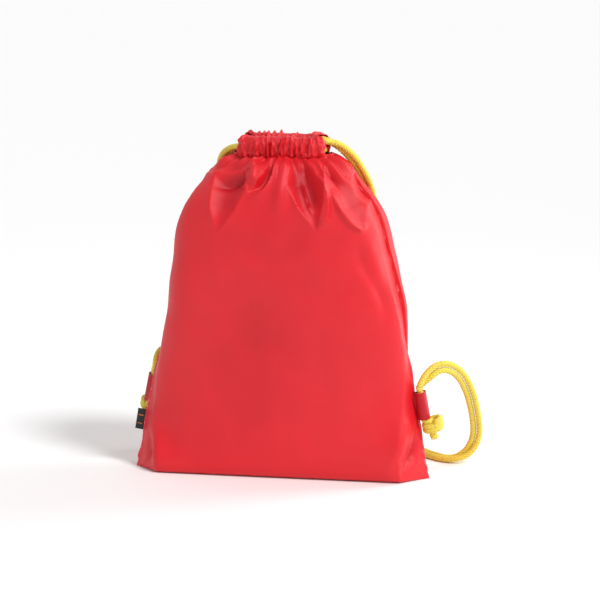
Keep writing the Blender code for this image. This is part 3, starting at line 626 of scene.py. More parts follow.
def makeKnot(prefix, loop):  # the turns of an overhand knot tied in both strands at once
    radiusOut = loop.knot[0] - cord["diameter"] / 2 + knotTurns["swell"]
    radiusAcross = loop.knot[1] - cord["diameter"] / 2
    rise = loop.knot[2] - cord["diameter"] / 2
    steps, lie = int(knotTurns["count"] * knotTurns["steps"]), []
    for k in range(steps + 1):
        share = k / steps
        angle = 2 * math.pi * (knotTurns["count"] * share + knotTurns["start"])
        level = rise * (1.0 - 2.0 * share) + knotTurns["bob"] * math.sin(angle + 0.6)
        squeeze = 1.0 - knotTurns["squeeze"] * math.cos(angle * 2.0)
        lie.append(loop.knotCentre + loop.out * (knotTurns["outward"] + radiusOut * squeeze * math.cos(angle))
                   + loop.across * radiusAcross * math.sin(angle) + loop.up * level)
    lie.append(lie[-1] + (loop.knotCentre - lie[-1]) * knotTurns["tuck"] - loop.up * knotTurns["tuckRise"])
    lie.insert(0, lie[0] + (loop.knotCentre - lie[0]) * knotTurns["tuck"] + loop.up * knotTurns["tuckRise"])
    return braidedTube(prefix + "_knot_turns", lie)


makeCordSide("right", rightRoute, rightLoop, 1)
makeCordSide("left", leftRoute, leftLoop, -1)
print("cords laid")


# cloth
panelCut = {"columns": 200, "wallRows": 205, "baseRows": 14, "thick": 0.0005, "edgeRounding": 14,
            "rimWidth": 0.0055, "waves": 0.0026, "deepest": 0.009, "flat": (0.35, 0.44), "tuckRise": 0.0011,
            "hemFrom": 0.354, "hemFade": 0.010, "cordAt": 0.087, "cordBand": 0.018, "cordTop": 0.36}


def crease(out, wide, sharp, fade, *line):  # height, width on its left and right, share of its length that fades
    return {"out": out, "wide": wide, "sharp": sharp, "fade": fade, "line": line}


def hollow(deep, rim, half, *line):  # a crisp rim round a hollow, which runs down from the hem to a point
    return {"deep": deep, "rim": rim, "half": half, "line": line}


frontPockets = (
    hollow(0.013, 0.0028, (0.009, 0.0215, 0.0155, 0.0015), (0.024, 0.369), (0.0335, 0.347), (0.043, 0.32),
           (0.0502, 0.2915)),
    hollow(0.007, 0.002, (0.005, 0.014, 0.015, 0.0015), (0.05, 0.364), (0.069, 0.345), (0.0855, 0.324),
           (0.099, 0.2895)),
    hollow(0.0085, 0.0022, (0.007, 0.0225, 0.0165, 0.0015), (-0.037, 0.36), (-0.047, 0.343), (-0.0545, 0.318),
           (-0.0612, 0.287)),
    hollow(0.0036, 0.0012, (0.003, 0.006, 0.006, 0.0), (-0.033, 0.36), (-0.052, 0.356), (-0.072, 0.351),
           (-0.09, 0.343)),
    hollow(0.0052, 0.002, (0.0025, 0.006, 0.006, 0.0), (-0.004, 0.365), (-0.0055, 0.35), (-0.013, 0.337),
           (-0.027, 0.329)),
    hollow(0.0046, 0.0016, (0.002, 0.0048, 0.006, 0.002), (0.1585, 0.078), (0.156, 0.05), (0.15, 0.025),
           (0.138, 0.003)),
    hollow(0.0022, 0.0012, (0.0015, 0.004, 0.005, 0.0), (0.148, 0.048), (0.142, 0.03), (0.129, 0.013),
           (0.115, 0.005)),
    hollow(0.0024, 0.001, (0.0015, 0.003, 0.0035, 0.001), (-0.146, 0.026), (-0.151, 0.015), (-0.156, 0.007),
           (-0.16, 0.003)),
)
backPockets = (
    hollow(0.0115, 0.0026, (0.008, 0.019, 0.013, 0.0), (-0.003, 0.368), (-0.012, 0.344), (-0.02, 0.32),
           (-0.029, 0.289)),
    hollow(0.0085, 0.0022, (0.006, 0.014, 0.01, 0.0), (0.033, 0.366), (0.04, 0.344), (0.043, 0.324), (0.042, 0.299)),
    hollow(0.006, 0.0018, (0.005, 0.011, 0.009, 0.0), (-0.036, 0.364), (-0.05, 0.346), (-0.059, 0.328),
           (-0.064, 0.308)),
)
frontFolds = (
    crease(0.0045, (0.0075, 0.0085), 2.0, (0.0, 0.55), (0.0096, 0.37), (0.0098, 0.346), (0.0092, 0.322),
           (0.006, 0.296)),
    crease(0.004, (0.0028, 0.0065), 1.3, (0.0, 0.15), (0.033, 0.37), (0.0455, 0.35), (0.058, 0.331),
           (0.0625, 0.314), (0.059, 0.301), (0.051, 0.294)),
    crease(0.003, (0.0018, 0.003), 1.2, (0.35, 0.3), (0.029, 0.35), (0.0385, 0.325), (0.0475, 0.304)),
    crease(0.0034, (0.006, 0.0024), 1.3, (0.2, 0.2), (0.06, 0.334), (0.0745, 0.312), (0.087, 0.2965),
           (0.0985, 0.2905), (0.105, 0.298)),
    crease(0.0026, (0.0022, 0.003), 1.4, (0.1, 0.4), (0.052, 0.3625), (0.068, 0.351), (0.083, 0.338), (0.096, 0.32)),
    crease(-0.0022, (0.0022, 0.0022), 1.5, (0.1, 0.5), (0.05, 0.358), (0.064, 0.347), (0.078, 0.335)),
    crease(0.0018, (0.0022, 0.0034), 1.2, (0.05, 0.6), (-0.03, 0.3525), (-0.056, 0.3475), (-0.078, 0.343)),
    crease(-0.0042, (0.0045, 0.006), 1.8, (0.1, 0.5), (-0.03, 0.345), (-0.052, 0.339), (-0.078, 0.333)),
    crease(0.0062, (0.0065, 0.007), 2.0, (0.0, 0.3), (-0.024, 0.362), (-0.0215, 0.348), (-0.0235, 0.336)),
    crease(0.0032, (0.008, 0.0026), 1.3, (0.0, 0.4), (-0.001, 0.364), (-0.001, 0.348), (-0.008, 0.333),
           (-0.02, 0.325), (-0.033, 0.322)),
    crease(-0.003, (0.012, 0.006), 1.8, (0.3, 0.4), (0.093, 0.29), (0.103, 0.25), (0.12, 0.215), (0.129, 0.175)),
    crease(0.0022, (0.006, 0.008), 1.8, (0.3, 0.4), (0.104, 0.29), (0.113, 0.25), (0.128, 0.215)),
    crease(0.0018, (0.012, 0.014), 2.0, (0.4, 0.5), (0.03, 0.282), (0.052, 0.26), (0.08, 0.243)),
    crease(0.0034, (0.035, 0.035), 2.0, (0.4, 0.5), (0.075, 0.23), (0.085, 0.15), (0.08, 0.085)),
    crease(-0.0034, (0.03, 0.034), 2.0, (0.4, 0.5), (0.0, 0.25), (-0.025, 0.17), (-0.04, 0.09)),
    crease(0.0026, (0.02, 0.024), 2.0, (0.4, 0.5), (-0.095, 0.265), (-0.108, 0.19), (-0.118, 0.11)),
    crease(-0.004, (0.004, 0.0065), 1.5, (0.0, 0.5), (0.14, 0.0), (0.146, 0.018), (0.153, 0.036), (0.156, 0.06)),
    crease(0.0036, (0.014, 0.0055), 1.7, (0.0, 0.5), (0.125, 0.0), (0.134, 0.028), (0.144, 0.06), (0.148, 0.09)),
    crease(-0.0018, (0.008, 0.008), 2.0, (0.5, 0.5), (0.04, 0.006), (0.09, 0.019), (0.13, 0.028)),
    crease(0.003, (0.006, 0.011), 1.8, (0.0, 0.5), (-0.132, 0.0), (-0.139, 0.026), (-0.145, 0.06)),
    crease(-0.003, (0.0045, 0.0045), 1.8, (0.0, 0.5), (-0.146, 0.0), (-0.15, 0.024), (-0.152, 0.05)),
    crease(0.0014, (0.007, 0.007), 2.0, (0.5, 0.5), (-0.08, 0.005), (-0.02, 0.012), (0.04, 0.006)),
)
backFolds = (
    crease(-0.0095, (0.008, 0.006), 2.1, (0.0, 0.4), (-0.005, 0.368), (-0.01, 0.344), (-0.021, 0.316),
           (-0.03, 0.296)),
    crease(0.003, (0.011, 0.0024), 1.3, (0.1, 0.15), (0.003, 0.364), (-0.001, 0.344), (-0.013, 0.319),
           (-0.028, 0.295)),
    crease(-0.007, (0.006, 0.008), 2.0, (0.0, 0.5), (0.02, 0.368), (0.026, 0.34), (0.03, 0.312)),
    crease(-0.006, (0.006, 0.006), 2.0, (0.0, 0.5), (-0.03, 0.364), (-0.048, 0.343), (-0.06, 0.322)),
    crease(0.0026, (0.003, 0.009), 1.4, (0.0, 0.4), (0.033, 0.366), (0.042, 0.34), (0.056, 0.318)),
    crease(-0.0034, (0.03, 0.03), 2.0, (0.4, 0.5), (0.005, 0.24), (-0.015, 0.17), (-0.01, 0.1)),
    crease(-0.0024, (0.012, 0.012), 2.0, (0.2, 0.5), (0.02, 0.004), (-0.03, 0.03), (-0.05, 0.07)),
    crease(0.003, (0.011, 0.006), 1.8, (0.0, 0.5), (0.132, 0.0), (0.139, 0.03), (0.144, 0.07)),
    crease(0.0024, (0.006, 0.011), 1.8, (0.0, 0.5), (-0.127, 0.0), (-0.136, 0.035), (-0.142, 0.075)),
)
gathers = {"count": 15, "reach": 0.040, "out": 0.0028, "ruffle": 0.0040}


def gatherRidges(t, seed):  # sharp ridges of uneven width across the mouth; t from 0 to 1
    jitter = np.random.default_rng(seed).uniform(-0.42, 0.42, gathers["count"] + 3)
    tall = np.random.default_rng(seed + 1).uniform(0.25, 1.0, gathers["count"] + 3)
    wanted = np.arange(gathers["count"] + 3) + jitter - 1
    place = np.asarray(t) * gathers["count"]
    index = np.clip(np.searchsorted(wanted, place) - 1, 0, len(wanted) - 2)
    share = np.clip((place - wanted[index]) / (wanted[index + 1] - wanted[index]), 0, 1)
    crest = 1 - np.abs(2 * share - 1)
    return crest ** 1.25 * tall[index], index


def foldHeight(x, z, folds):
    total = np.zeros_like(x)
    for fold in folds:
        knots = [(p[0], p[1], 0.0) for p in fold["line"]]
        line = smoothRoute(knots, 0.0025)[:, :2]
        best = np.full_like(x, 1e9)
        height = np.zeros_like(x)
        for i in range(len(line) - 1):
            a, b = line[i], line[i + 1]
            d = b - a
            u = np.clip(((x - a[0]) * d[0] + (z - a[1]) * d[1]) / np.dot(d, d), 0, 1)
            dx, dz = x - a[0] - u * d[0], z - a[1] - u * d[1]
            away = np.hypot(dx, dz)
            right = (d[1] * dx - d[0] * dz) > 0  # right of the line as it runs downwards is its left when seen
            share = (i + u) / (len(line) - 1)
            fade = smoothstep(share / fold["fade"][0]) if fold["fade"][0] > 0 else 1.0
            if fold["fade"][1] > 0:
                fade = fade * smoothstep((1 - share) / fold["fade"][1])
            width = np.where(right, fold["wide"][1], fold["wide"][0])
            here = fade * np.exp(-(away / width) ** fold["sharp"])
            closer = away < best
            height = np.where(closer, here, height)
            best = np.minimum(best, away)
        total += fold["out"] * height * (1.55 if line[:, 1].min() > 0.27 else 1.0)
    return total


def pocketHeight(x, z, pockets):
    total = np.zeros_like(x)
    for pocket in pockets:
        line = smoothRoute([(p[0], p[1], 0.0) for p in pocket["line"]], 0.0015)[:, :2]
        best, spot = np.full_like(x, 1e9), np.zeros_like(x)
        for i in range(len(line) - 1):
            a, d = line[i], line[i + 1] - line[i]
            u = np.clip(((x - a[0]) * d[0] + (z - a[1]) * d[1]) / np.dot(d, d), 0, 1)
            away = np.hypot(x - a[0] - u * d[0], z - a[1] - u * d[1])
            spot = np.where(away < best, (i + u) / (len(line) - 1), spot)
            best = np.minimum(best, away)
        half = np.interp(spot, np.linspace(0, 1, len(pocket["half"])), pocket["half"])
        half = half * (1 - 0.1 * np.sin(spot * math.pi))
        inside = np.clip(1 - (best / np.maximum(half, 1e-5)) ** 2, 0, 1)
        strong = (half / max(pocket["half"])) ** 0.75 * (0.55 + 0.45 * smoothstep(spot / 0.25))
        strong = strong * (0.15 + 0.85 * smoothstep((1 - spot) / 0.45))  # a hollow runs out towards its point
        total -= pocket["deep"] * inside * strong
        beyond = np.maximum(best - half, 0)
        along = smoothstep(spot / 0.2) * (0.35 + 0.65 * smoothstep((1 - spot) / 0.2))
        total += pocket["rim"] * np.exp(-beyond / panelCut["rimWidth"]) * (1 - inside) * along
    return total


def paintFoldShade(piece, shades):  # painted shade: how deep each vertex lies in a fold, which the nylon shows darker
    fold = piece.data.attributes.new("fold", "FLOAT", "POINT")
    fold.data.foreach_set("value", np.array(shades, dtype=np.float32))


def shadesAt(piece, points, shades, otherwise):
    known = dict(zip(map(tuple, np.round(np.reshape(points, (-1, 3)), 6)), np.ravel(shades)))
    return [known.get(tuple(np.round(v.co, 6)), otherwise) for v in piece.data.vertices]


def makePanel(name, side, folds, pockets, seed):
    fine = np.sin(np.radians(np.linspace(-90, 90, 601)))
    columns = panelCut["columns"]
    heights = np.concatenate([np.linspace(0, 0.20, 12)[:-1], np.linspace(0.20, 0.72, 76)[:-1],
                              np.linspace(0.72, 1.0, panelCut["wallRows"] - 85)])
    rows, across = [], []
    for s in heights:
        row = sectionRow(fine, s, side, sewn=False)
        length = lengthsAlong(row)
        wanted = np.linspace(0, length[-1], columns + 1)
        rows.append(np.stack([np.interp(wanted, length, row[:, c]) for c in range(3)], axis=1))
        across.append(np.interp(wanted, length, fine))
    edge, edgeAcross = rows[0], across[0]
    base = []
    for back in np.linspace(1, 0, panelCut["baseRows"] + 1)[:-1]:  # from the bottom seam out to the edge
        x = edge[:, 0] + (bag["baseWidth"] / 2 * edgeAcross - edge[:, 0]) * back
        y = side * (bag["gap"] / 2 + (np.abs(edge[:, 1]) - bag["gap"] / 2) * (1 - back))
        base.append(np.stack([x, y, np.zeros_like(x)], axis=1))
    tucked = [rows[-1] * (1, 1 - 0.14 * k, 1) + (0, 0, panelCut["tuckRise"] * k) for k in range(1, 4)]
    points = np.array(base + rows + tucked)
    first = len(base)
    for _ in range(panelCut["edgeRounding"]):  # the fold along the bottom is soft
        low, high = first - 5, first + 3
        points[low:high] = (points[low - 1:high - 1] + 2 * points[low:high] + points[low + 1:high + 1]) / 4
    along = np.gradient(points, axis=0)
    sideways = np.gradient(points, axis=1)
    normal = np.cross(sideways, along)
    normal /= np.maximum(np.linalg.norm(normal, axis=2), 1e-9)[:, :, None]
    if normal[len(points) // 2, columns // 2, 1] * side < 0:
        normal = -normal
    x, z = points[:, :, 0], points[:, :, 2]
    share = np.linspace(0, 1, columns + 1)[None, :] * np.ones((len(points), 1))
    out = foldHeight(x, z, folds) + pocketHeight(x, z, pockets)
    out *= 1 - 0.72 * smoothstep((z - panelCut["hemFrom"]) / panelCut["hemFade"])  # the hem holds the top edge
    wander = np.array([[noise.noise(Vector((px * 16, pz * 13, seed)))
                        + 0.4 * noise.noise(Vector((px * 42, pz * 34, seed + 5.0)))
                        for px, pz in zip(rx, rz)] for rx, rz in zip(x, z)])
    out += panelCut["waves"] * wander * smoothstep(z / 0.03)
    ridge, cell = gatherRidges(share, seed)
    reach = gathers["reach"] * (0.35 + 0.65 * np.random.default_rng(seed + 2).uniform(0, 1, 40)[cell])
    depth = smoothstep((z - bag["neckHeight"] + reach) / reach)
    out += gathers["out"] * (ridge - 0.45) * 2 * depth ** 1.5
    seamFade = smoothstep((1 - np.abs(share * 2 - 1)) / 0.10)
    wallFade = smoothstep((np.arange(len(points)) - first + 2) / 8)[:, None]
    out = out * seamFade * np.maximum(wallFade, 0.0)
    if side > 0:  # the cords hang against the back, so no fold stands out under them
        under = np.exp(-((np.abs(x) - panelCut["cordAt"]) / panelCut["cordBand"]) ** 4)
        under = under * smoothstep((panelCut["cordTop"] - z) / 0.03)
        out = np.where(out > 0, out * (1 - under), out)
    out[-3:] *= 0.2
    points = points + normal * out[:, :, None]
    points[:, :, 2] = np.maximum(points[:, :, 2], 0.0)
    piece = clothGrid(name, columns, len(points) - 1, points, panelCut["flat"])
    # painted shade: the cloth is darker where it is pushed in, in valleys and hollows
    paintFoldShade(piece, shadesAt(piece, points, np.clip(-out / panelCut["deepest"], 0, 1), 0))
    faceOut(piece, Vector((0, side, 0)))
    applyModifier(piece, "SOLIDIFY", thickness=panelCut["thick"], offset=-1.0)
    return piece


def faceOut(piece, outward):  # an open cloth's face is turned the way it shows
    total = Vector((0, 0, 0))
    for face in piece.data.polygons:
        total += face.normal * face.area
    if total.dot(outward) < 0:
        onMesh(piece, (bpy.ops.mesh.flip_normals, {}))


hem = {"around": 44, "along": 230, "thick": 0.0006, "roll": 0.10, "rollOut": 0.0012, "drop": 0.0030,
       "halfHeight": 0.0123, "close": 0.0030, "crumple": 0.0030, "sway": 0.0018, "valley": -0.0008}


def hemPath(share, side):  # middle and outward direction along one side of the mouth, 0 left to 1 right
    sweep = math.pi / 2 - casing["endAngle"]
    bendLength = sweep * casing["radius"]
    total = 2 * bendLength + 2 * casing["straight"]
    place = share * total
    if place < bendLength:
        angle = -math.pi / 2 - sweep + place / casing["radius"]
        middle = (-casing["straight"] + casing["radius"] * math.cos(angle), casing["radius"] * math.sin(angle))
    elif place > total - bendLength:
        angle = -math.pi / 2 + (place - total + bendLength) / casing["radius"]
        middle = (casing["straight"] + casing["radius"] * math.cos(angle), casing["radius"] * math.sin(angle))
    else:
        angle = -math.pi / 2
        middle = (-casing["straight"] + place - bendLength, -casing["radius"])
    return (Vector((middle[0] + bag["mouthShift"], middle[1] * -side, casing["middle"])),
            Vector((math.cos(angle), math.sin(angle) * -side, 0)))


def makeHem(name, side, seed):  # the tunnel along a panel's top, drawn up into ruffles
    points, dark = [], []
    for k in range(hem["along"] + 1):
        share = k / hem["along"]
        middle, outward = hemPath(share, side)
        middle -= Vector((0, 0, hem["drop"]))
        endRoll = 1 - smoothstep(share / hem["roll"]) + 1 - smoothstep((1 - share) / hem["roll"])
        row, shade = [], []
        for j in range(hem["around"]):
            angle = 2 * math.pi * j / hem["around"]
            c, s = math.cos(angle), math.sin(angle)
            lean = 0.022 * s * math.sin(share * 7 + 1.0) + 0.010 * math.sin(share * 19 + s * 1.5)
            ridge, _ = gatherRidges(np.clip(share * 0.90 + 0.05 + lean, 0, 1), seed)
            small = noise.noise(Vector((share * 34, s * 2.5, seed + (3 if c > 0 else 9))))
            puff = gathers["ruffle"] * (0.60 + 0.40 * max(s, 0)) * (float(ridge) - 0.42) * 1.5 * (1 - 0.8 * endRoll)
            puff += hem["crumple"] * small
            if s > 0.3:  # the cord in the tunnel holds its upper side out
                puff = max(puff, hem["valley"])
            inner = hem["close"] * (1 - endRoll) if c < 0 else 0
            a = (casing["depth"] / 2 + hem["rollOut"] * endRoll + puff + inner) * math.copysign(abs(c) ** 0.72, c)
            b = (hem["halfHeight"] + puff * (0.75 if s > 0 else 0.35)) * math.copysign(abs(s) ** 0.80, s)
            b += hem["sway"] * noise.noise(Vector((share * 9, 4.0, seed)))
            row.append(middle + outward * a + Vector((0, 0, b)))
            # painted shade: darker between the ruffle ridges, less at the rolled ends
            shade.append(min(1.0, max(0.0, 0.5 - float(ridge) * 1.3)) * (1 - endRoll))
        points.append(row + row[:1])
        dark.append(shade + shade[:1])
    piece = clothGrid(name, hem["around"], hem["along"], points, (0.07, 0.35))
    # painted shade for the hem, 0.2 where a vertex is not found
    paintFoldShade(piece, shadesAt(piece, points, dark, 0.2))
    tidyMesh(piece)
    middle = hemPath(0.5, side)[0]
    mid = [f for f in piece.data.polygons if abs(f.center.x - middle.x) < 0.01]
    sense = sum((Vector(f.center) - Vector((f.center.x, middle.y, middle.z))).dot(f.normal) for f in mid)
    if sense < 0:
        tidyMesh(piece, inside=True)
    applyModifier(piece, "SOLIDIFY", thickness=hem["thick"], offset=-1.0)
    return piece


frontPanel = makePanel("front_cloth", -1, frontFolds, frontPockets, 3)
settle(frontPanel, "bag", redNylon, ["front_panel"])
backPanel = makePanel("back_cloth", 1, backFolds, backPockets, 8)
settle(backPanel, "bag", redNylon, ["back_panel"])
frontHem = settle(makeHem("front_hem", -1, 3), "bag", redNylon, ["front_casing"])
backHem = settle(makeHem("back_hem", 1, 8), "bag", redNylon, ["back_casing"])
for tag, panel, hemPiece in (("front", frontPanel, frontHem), ("back", backPanel, backHem)):
    tag + "_casing_stitching"
print("cloth made")


# cloth loops in the side seams
loopCloth = {"around": 56, "along": 30, "thick": 0.0009, "hemHeight": 0.0032, "hemStep": 0.0006,
             "hemOut": 0.00035, "edge": 0.00018, "pucker": 0.0003, "deep": 0.95, "rooted": 0.0004, "free": 0.66,
             "right": 0.046, "left": 0.050}


def sewnBend(loop):  # the strip's root in the seam, and a point partway out along its tunnel
    return loop.middle - loop.out * loopCloth["rooted"], loop.tunnel - loop.out * loop.halfOut * loopCloth["free"]


def makeLoop(prefix, loop):  # a strip of the same nylon, folded round the cord and sewn into the seam
    cleanSelection()
    bpy.ops.mesh.primitive_cylinder_add(vertices=loopCloth["around"], radius=1, depth=1, end_fill_type="NOTHING")
    piece = bpy.context.object
    piece.name = piece.data.name = prefix + "_loop_cloth"
    onMesh(piece, (bpy.ops.mesh.subdivide_edgering, {"number_cuts": loopCloth["along"]}))
    reach = tab["length"] / 2
    for vertex in piece.data.vertices:
        angle = math.atan2(vertex.co.y, vertex.co.x)
        height = vertex.co.z * 2  # -1 at the lower edge, 1 at the upper one
        c, s = math.cos(angle), math.sin(angle)
        hemmed = smoothstep((abs(height) * reach - reach + loopCloth["hemHeight"]) / loopCloth["hemStep"] + 1)
        pucker = noise.noise(Vector((c * 2, s * 2, height * 3 + loop.middle.x * 40)))
        grow = loopCloth["hemOut"] * hemmed + loopCloth["pucker"] * pucker
        a = (loop.halfOut + grow) * c
        b = (loop.halfAcross + grow) * math.copysign(abs(s) ** 0.8, s)
        if c < -0.5:  # the strip narrows into the seam
            b *= 1 - 0.55 * smoothstep((-c - 0.5) / 0.5)
            a -= tab["fin"] * 0.8 * smoothstep((-c - 0.5) / 0.5)
        vertex.co = loop.tunnel + loop.out * a + loop.across * b + loop.up * (height * reach)
    uv = piece.data.uv_layers[0].data
    for face in piece.data.polygons:
        for corner in face.loop_indices:
            uv[corner].uv = (uv[corner].uv[0] * 0.05, uv[corner].uv[1] * tab["length"] * 2)
    tidyMesh(piece)
    # painted shade: the whole strip is shown as dark as the deepest folds
    paintFoldShade(piece, [loopCloth["deep"]] * len(piece.data.vertices))
    applyModifier(piece, "SOLIDIFY", thickness=loopCloth["thick"], offset=-1.0)
    applyModifier(piece, "BEVEL", width=loopCloth["edge"], segments=2, limit_method="ANGLE")
    settle(piece, None, redNylon, [prefix + "_loop_tab"])
    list(sewnBend(loop))
    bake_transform(piece)
    return piece


rightTabCloth = makeLoop("right", rightLoop)
leftTabCloth = makeLoop("left", leftLoop)
print("cloth loops made")


# sewing
sewing = {"stitch": 0.0026, "space": 0.0008, "thread": 0.00055, "lift": 0.00012}


def sew(name, line, normals, body, stands=()):  # one stitch is modelled and the rest are copies of it
    cleanSelection()
    bpy.ops.mesh.primitive_uv_sphere_add(segments=6, ring_count=6, radius=1)
    one = bpy.context.object
    shape = np.array([v.co for v in one.data.vertices])
    shape[:, 2] = np.copysign(np.abs(shape[:, 2]) ** 0.6, shape[:, 2])
    faces = [tuple(f.vertices) for f in one.data.polygons]
    bpy.data.objects.remove(one)
    line, normals = np.array(line, dtype=float), np.array(normals, dtype=float)
    length = lengthsAlong(line)
    count = int(length[-1] / (sewing["stitch"] + sewing["space"]))
    verts, polygons = [], []
    for k in range(count):
        ends = [(k + e) * (sewing["stitch"] + sewing["space"]) for e in (0.08, 0.84)]
        a, b = (np.array([np.interp(e, length, line[:, c]) for c in range(3)]) for e in ends)
        up = np.array([np.interp(ends[0], length, normals[:, c]) for c in range(3)])
        run = (b - a) / np.linalg.norm(b - a)
        up = up - run * np.dot(up, run)
        up /= np.linalg.norm(up)
        side = np.cross(run, up)
        middle = (a + b) / 2 + up * sewing["lift"]
        half = np.linalg.norm(b - a) / 2
        r = sewing["thread"] / 2
        base = len(verts)
        for p in shape:
            dip = up * r * 0.9 * p[2] ** 4
            verts.append(middle + side * p[0] * r + up * p[1] * r + run * p[2] * half - dip)
        polygons += [tuple(base + i for i in f) for f in faces]
    mesh = bpy.data.meshes.new(name)
    mesh.from_pydata([tuple(v) for v in verts], [], polygons)
    return settle(linked(name, mesh), body, redThread, stands)


def nearest(piece, places, outward):  # places moved onto a piece's face along its outward side
    hits, faces = [], []
    bvh = BVHTree.FromPolygons([v.co for v in piece.data.vertices], [tuple(f.vertices) for f in piece.data.polygons])
    for place, away in zip(places, outward):
        hit, normal, _, _ = bvh.ray_cast(Vector(place) + Vector(away) * 0.03, -Vector(away))
        if hit is not None:
            hits.append(tuple(hit))
            faces.append(tuple(normal))
    return hits, faces


def makeHemStitching(side, hemPiece, name, node):
    places, outward = [], []
    for k in range(161):
        middle, away = hemPath(0.03 + 0.94 * k / 160, side)
        places.append(middle - Vector((0, 0, hem["drop"] + hem["halfHeight"] * 0.70)))
        outward.append(away)
    line, normals = nearest(hemPiece, places, outward)
    return sew(name, line, normals, "bag", [node])


makeHemStitching(-1, frontHem, "front_hem_stitches", "front_casing_stitching")
makeHemStitching(1, backHem, "back_hem_stitches", "back_casing_stitching")


def makeLoopStitching(prefix, loop, piece):  # two rows hold the folded strip beside the seam
    for tag, place in (("inner", -0.62), ("outer", -0.38)):
        for face, sign in (("front", -1), ("back", 1)):
            points = [loop.tunnel + loop.out * loop.halfOut * place + loop.up * tab["length"] * (k / 20 - 0.5) * 0.92
                      for k in range(21)]
            line, normals = nearest(piece, points, [loop.across * sign] * 21)
            if len(line) > 3:
                row = sew(f"{prefix}_loop_stitches_{tag}_{face}", line, normals, None)
                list(sewnBend(loop))
                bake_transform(row)


makeLoopStitching("right", rightLoop, rightTabCloth)
makeLoopStitching("left", leftLoop, leftTabCloth)
print("sewing made")


# the raised edge along each side seam
seamEdge = {"out": 0.0028, "half": 0.0007, "low": 0.004, "high": 0.357, "rows": 260,
            "wander": 0.0012, "sunk": 0.0010, "flat": (0.006, 0.36)}


def makeSeamEdge(name, side):
    ring = [(-0.0012, -1), (0.0, -1), (0.55, -0.9), (0.9, -0.5), (1.0, 0.0),
            (0.9, 0.5), (0.55, 0.9), (0.0, 1), (-0.0012, 1)]
    rows = []
    for k in range(seamEdge["rows"] + 1):
        z = seamEdge["low"] + (seamEdge["high"] - seamEdge["low"]) * k / seamEdge["rows"]
        base = seamPoint(side, z)
        up = (seamPoint(side, z + 0.002) - seamPoint(side, z - 0.002)).normalized()
        away = Vector((side * up.z, 0, -side * up.x))
        sway = seamEdge["wander"] * noise.noise(Vector((z * 70, side * 3.0, 2.0)))
        grow = seamEdge["out"] * (0.85 + 0.5 * noise.noise(Vector((z * 45, side * 2.0, 7.0))))
        grow *= float(smoothstep(k / 6) * smoothstep((seamEdge["rows"] - k) / 10))
        rows.append([base + away * (a * grow - seamEdge["sunk"]) + Vector((0, seamEdge["half"] * b + sway, 0))
                     for a, b in ring])
    piece = clothGrid(name, len(ring) - 1, seamEdge["rows"], rows, seamEdge["flat"])
    faceOut(piece, Vector((side, 0, 0)))
    return settle(piece, "bag", seamNylon)


makeSeamEdge("right_seam_edge", 1)
makeSeamEdge("left_seam_edge", -1)
print("seam edges made")


# side label
labelCut = {"out": 0.0100, "tall": 0.0240, "height": 0.0545, "half": 0.00045, "curl": 0.0011, "turn": 0.06,
            "rooted": 0.0004, "free": 0.0026, "thick": 0.00025, "flat": (0.0204, 0.0240)}


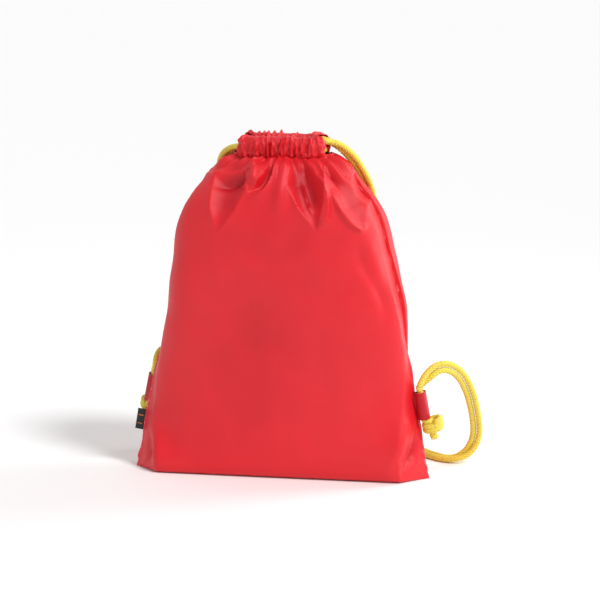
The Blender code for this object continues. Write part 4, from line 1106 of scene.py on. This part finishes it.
def makeLabel():  # a short ribbon folded in half, its fold standing out of the seam
    middle = seamPoint(-1, labelCut["height"])
    reach = tab["length"] / 2
    up = (seamPoint(-1, labelCut["height"] + reach) - seamPoint(-1, labelCut["height"] - reach)).normalized()
    away = Vector((-up.z, 0, up.x))
    steps = 40
    rows = []
    for j in range(31):
        v = j / 30 - 0.5
        row = []
        for k in range(steps + 1):
            t = k / steps * 2 - 1  # front layer, round the fold, back layer
            u = 1 - abs(t)
            turned = abs(t) <= labelCut["turn"]
            reachOut = labelCut["out"] * (1 - labelCut["turn"] * 0.5 - abs(t) * 0.5 if turned else 1 - abs(t))
            half = labelCut["half"] * (abs(t) / labelCut["turn"] if turned else 1.0)
            half *= 1 + 0.6 * math.sin(math.pi * u)
            bow = labelCut["curl"] * math.sin(math.pi * (v + 0.5)) * (reachOut / labelCut["out"]) ** 2 * 0.6
            y = math.copysign(half, t) + bow
            outwards = away * (reachOut + labelCut["rooted"])
            row.append(middle + outwards + up * labelCut["tall"] * v + Vector((0, y, 0)))
        rows.append(row)
    piece = clothGrid("side_label_ribbon", steps, 30, rows, labelCut["flat"])
    fold = labelCut["flat"][0] / 2
    for item in piece.data.uv_layers[0].data:
        item.uv = (fold - abs(item.uv[0] - fold), item.uv[1])
    tidyMesh(piece)
    faceOut(piece, Vector((-1, 0, 0)))
    applyModifier(piece, "SOLIDIFY", thickness=labelCut["thick"], offset=-1.0)
    settle(piece, None, blackLabel, ["side_label"])
    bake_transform(piece)


makeLabel()
for name in ("left_side_seam", "right_side_seam", "bottom_seam"):
    seam = bpy.data.objects[name]
    for item in seam.material_slots:
        item.material = redThread.material
print("label made")


# floor and light
studio = {"floor": (0.93, 0.93, 0.93, 1), "across": 40, "under": 0.0002, "air": 0.60,
          "sunFrom": (0.75, -0.55, 1.0), "sun": 1.95, "soft": 14,
          "rimFrom": (0.9, 0.45, 0.55), "rimAt": (0.1, 0, 0.22), "rimSize": (0.35, 0.9), "rim": 6}


def makeFloor():
    cleanSelection()
    bpy.ops.mesh.primitive_grid_add(x_subdivisions=4, y_subdivisions=4, size=studio["across"])
    floor = bpy.context.object
    floor.name = "floor"
    for vertex in floor.data.vertices:
        vertex.co.z = -studio["under"]
    paper = Finish("floor_paper", 0.9, specular=0.1)
    paper.shader.inputs["Base Color"].default_value = studio["floor"]
    floor.data.materials.append(paper.material)


def softLight(name, place, aim, size, power):
    data = bpy.data.lights.new(name, "AREA")
    data.shape = "RECTANGLE"
    data.size, data.size_y = size
    data.energy = power
    hang(name, data, place, Vector(aim) - Vector(place))


def softSun(name, direction, power, softness):
    data = bpy.data.lights.new(name, "SUN")
    data.energy = power
    data.angle = math.radians(softness)
    hang(name, data, (0, 0, 0), -Vector(direction))


def makeLight():
    world = bpy.data.worlds.new("studio_air")
    world.use_nodes = True
    world.node_tree.nodes["Background"].inputs["Color"].default_value = (1, 1, 1, 1)
    world.node_tree.nodes["Background"].inputs["Strength"].default_value = studio["air"]
    bpy.context.scene.world = world
    bpy.context.scene.view_settings.view_transform = "Standard"
    softSun("key", studio["sunFrom"], studio["sun"], studio["soft"])
    softLight("rim", studio["rimFrom"], studio["rimAt"], studio["rimSize"], studio["rim"])


makeFloor()
makeLight()
print("floor and light made")
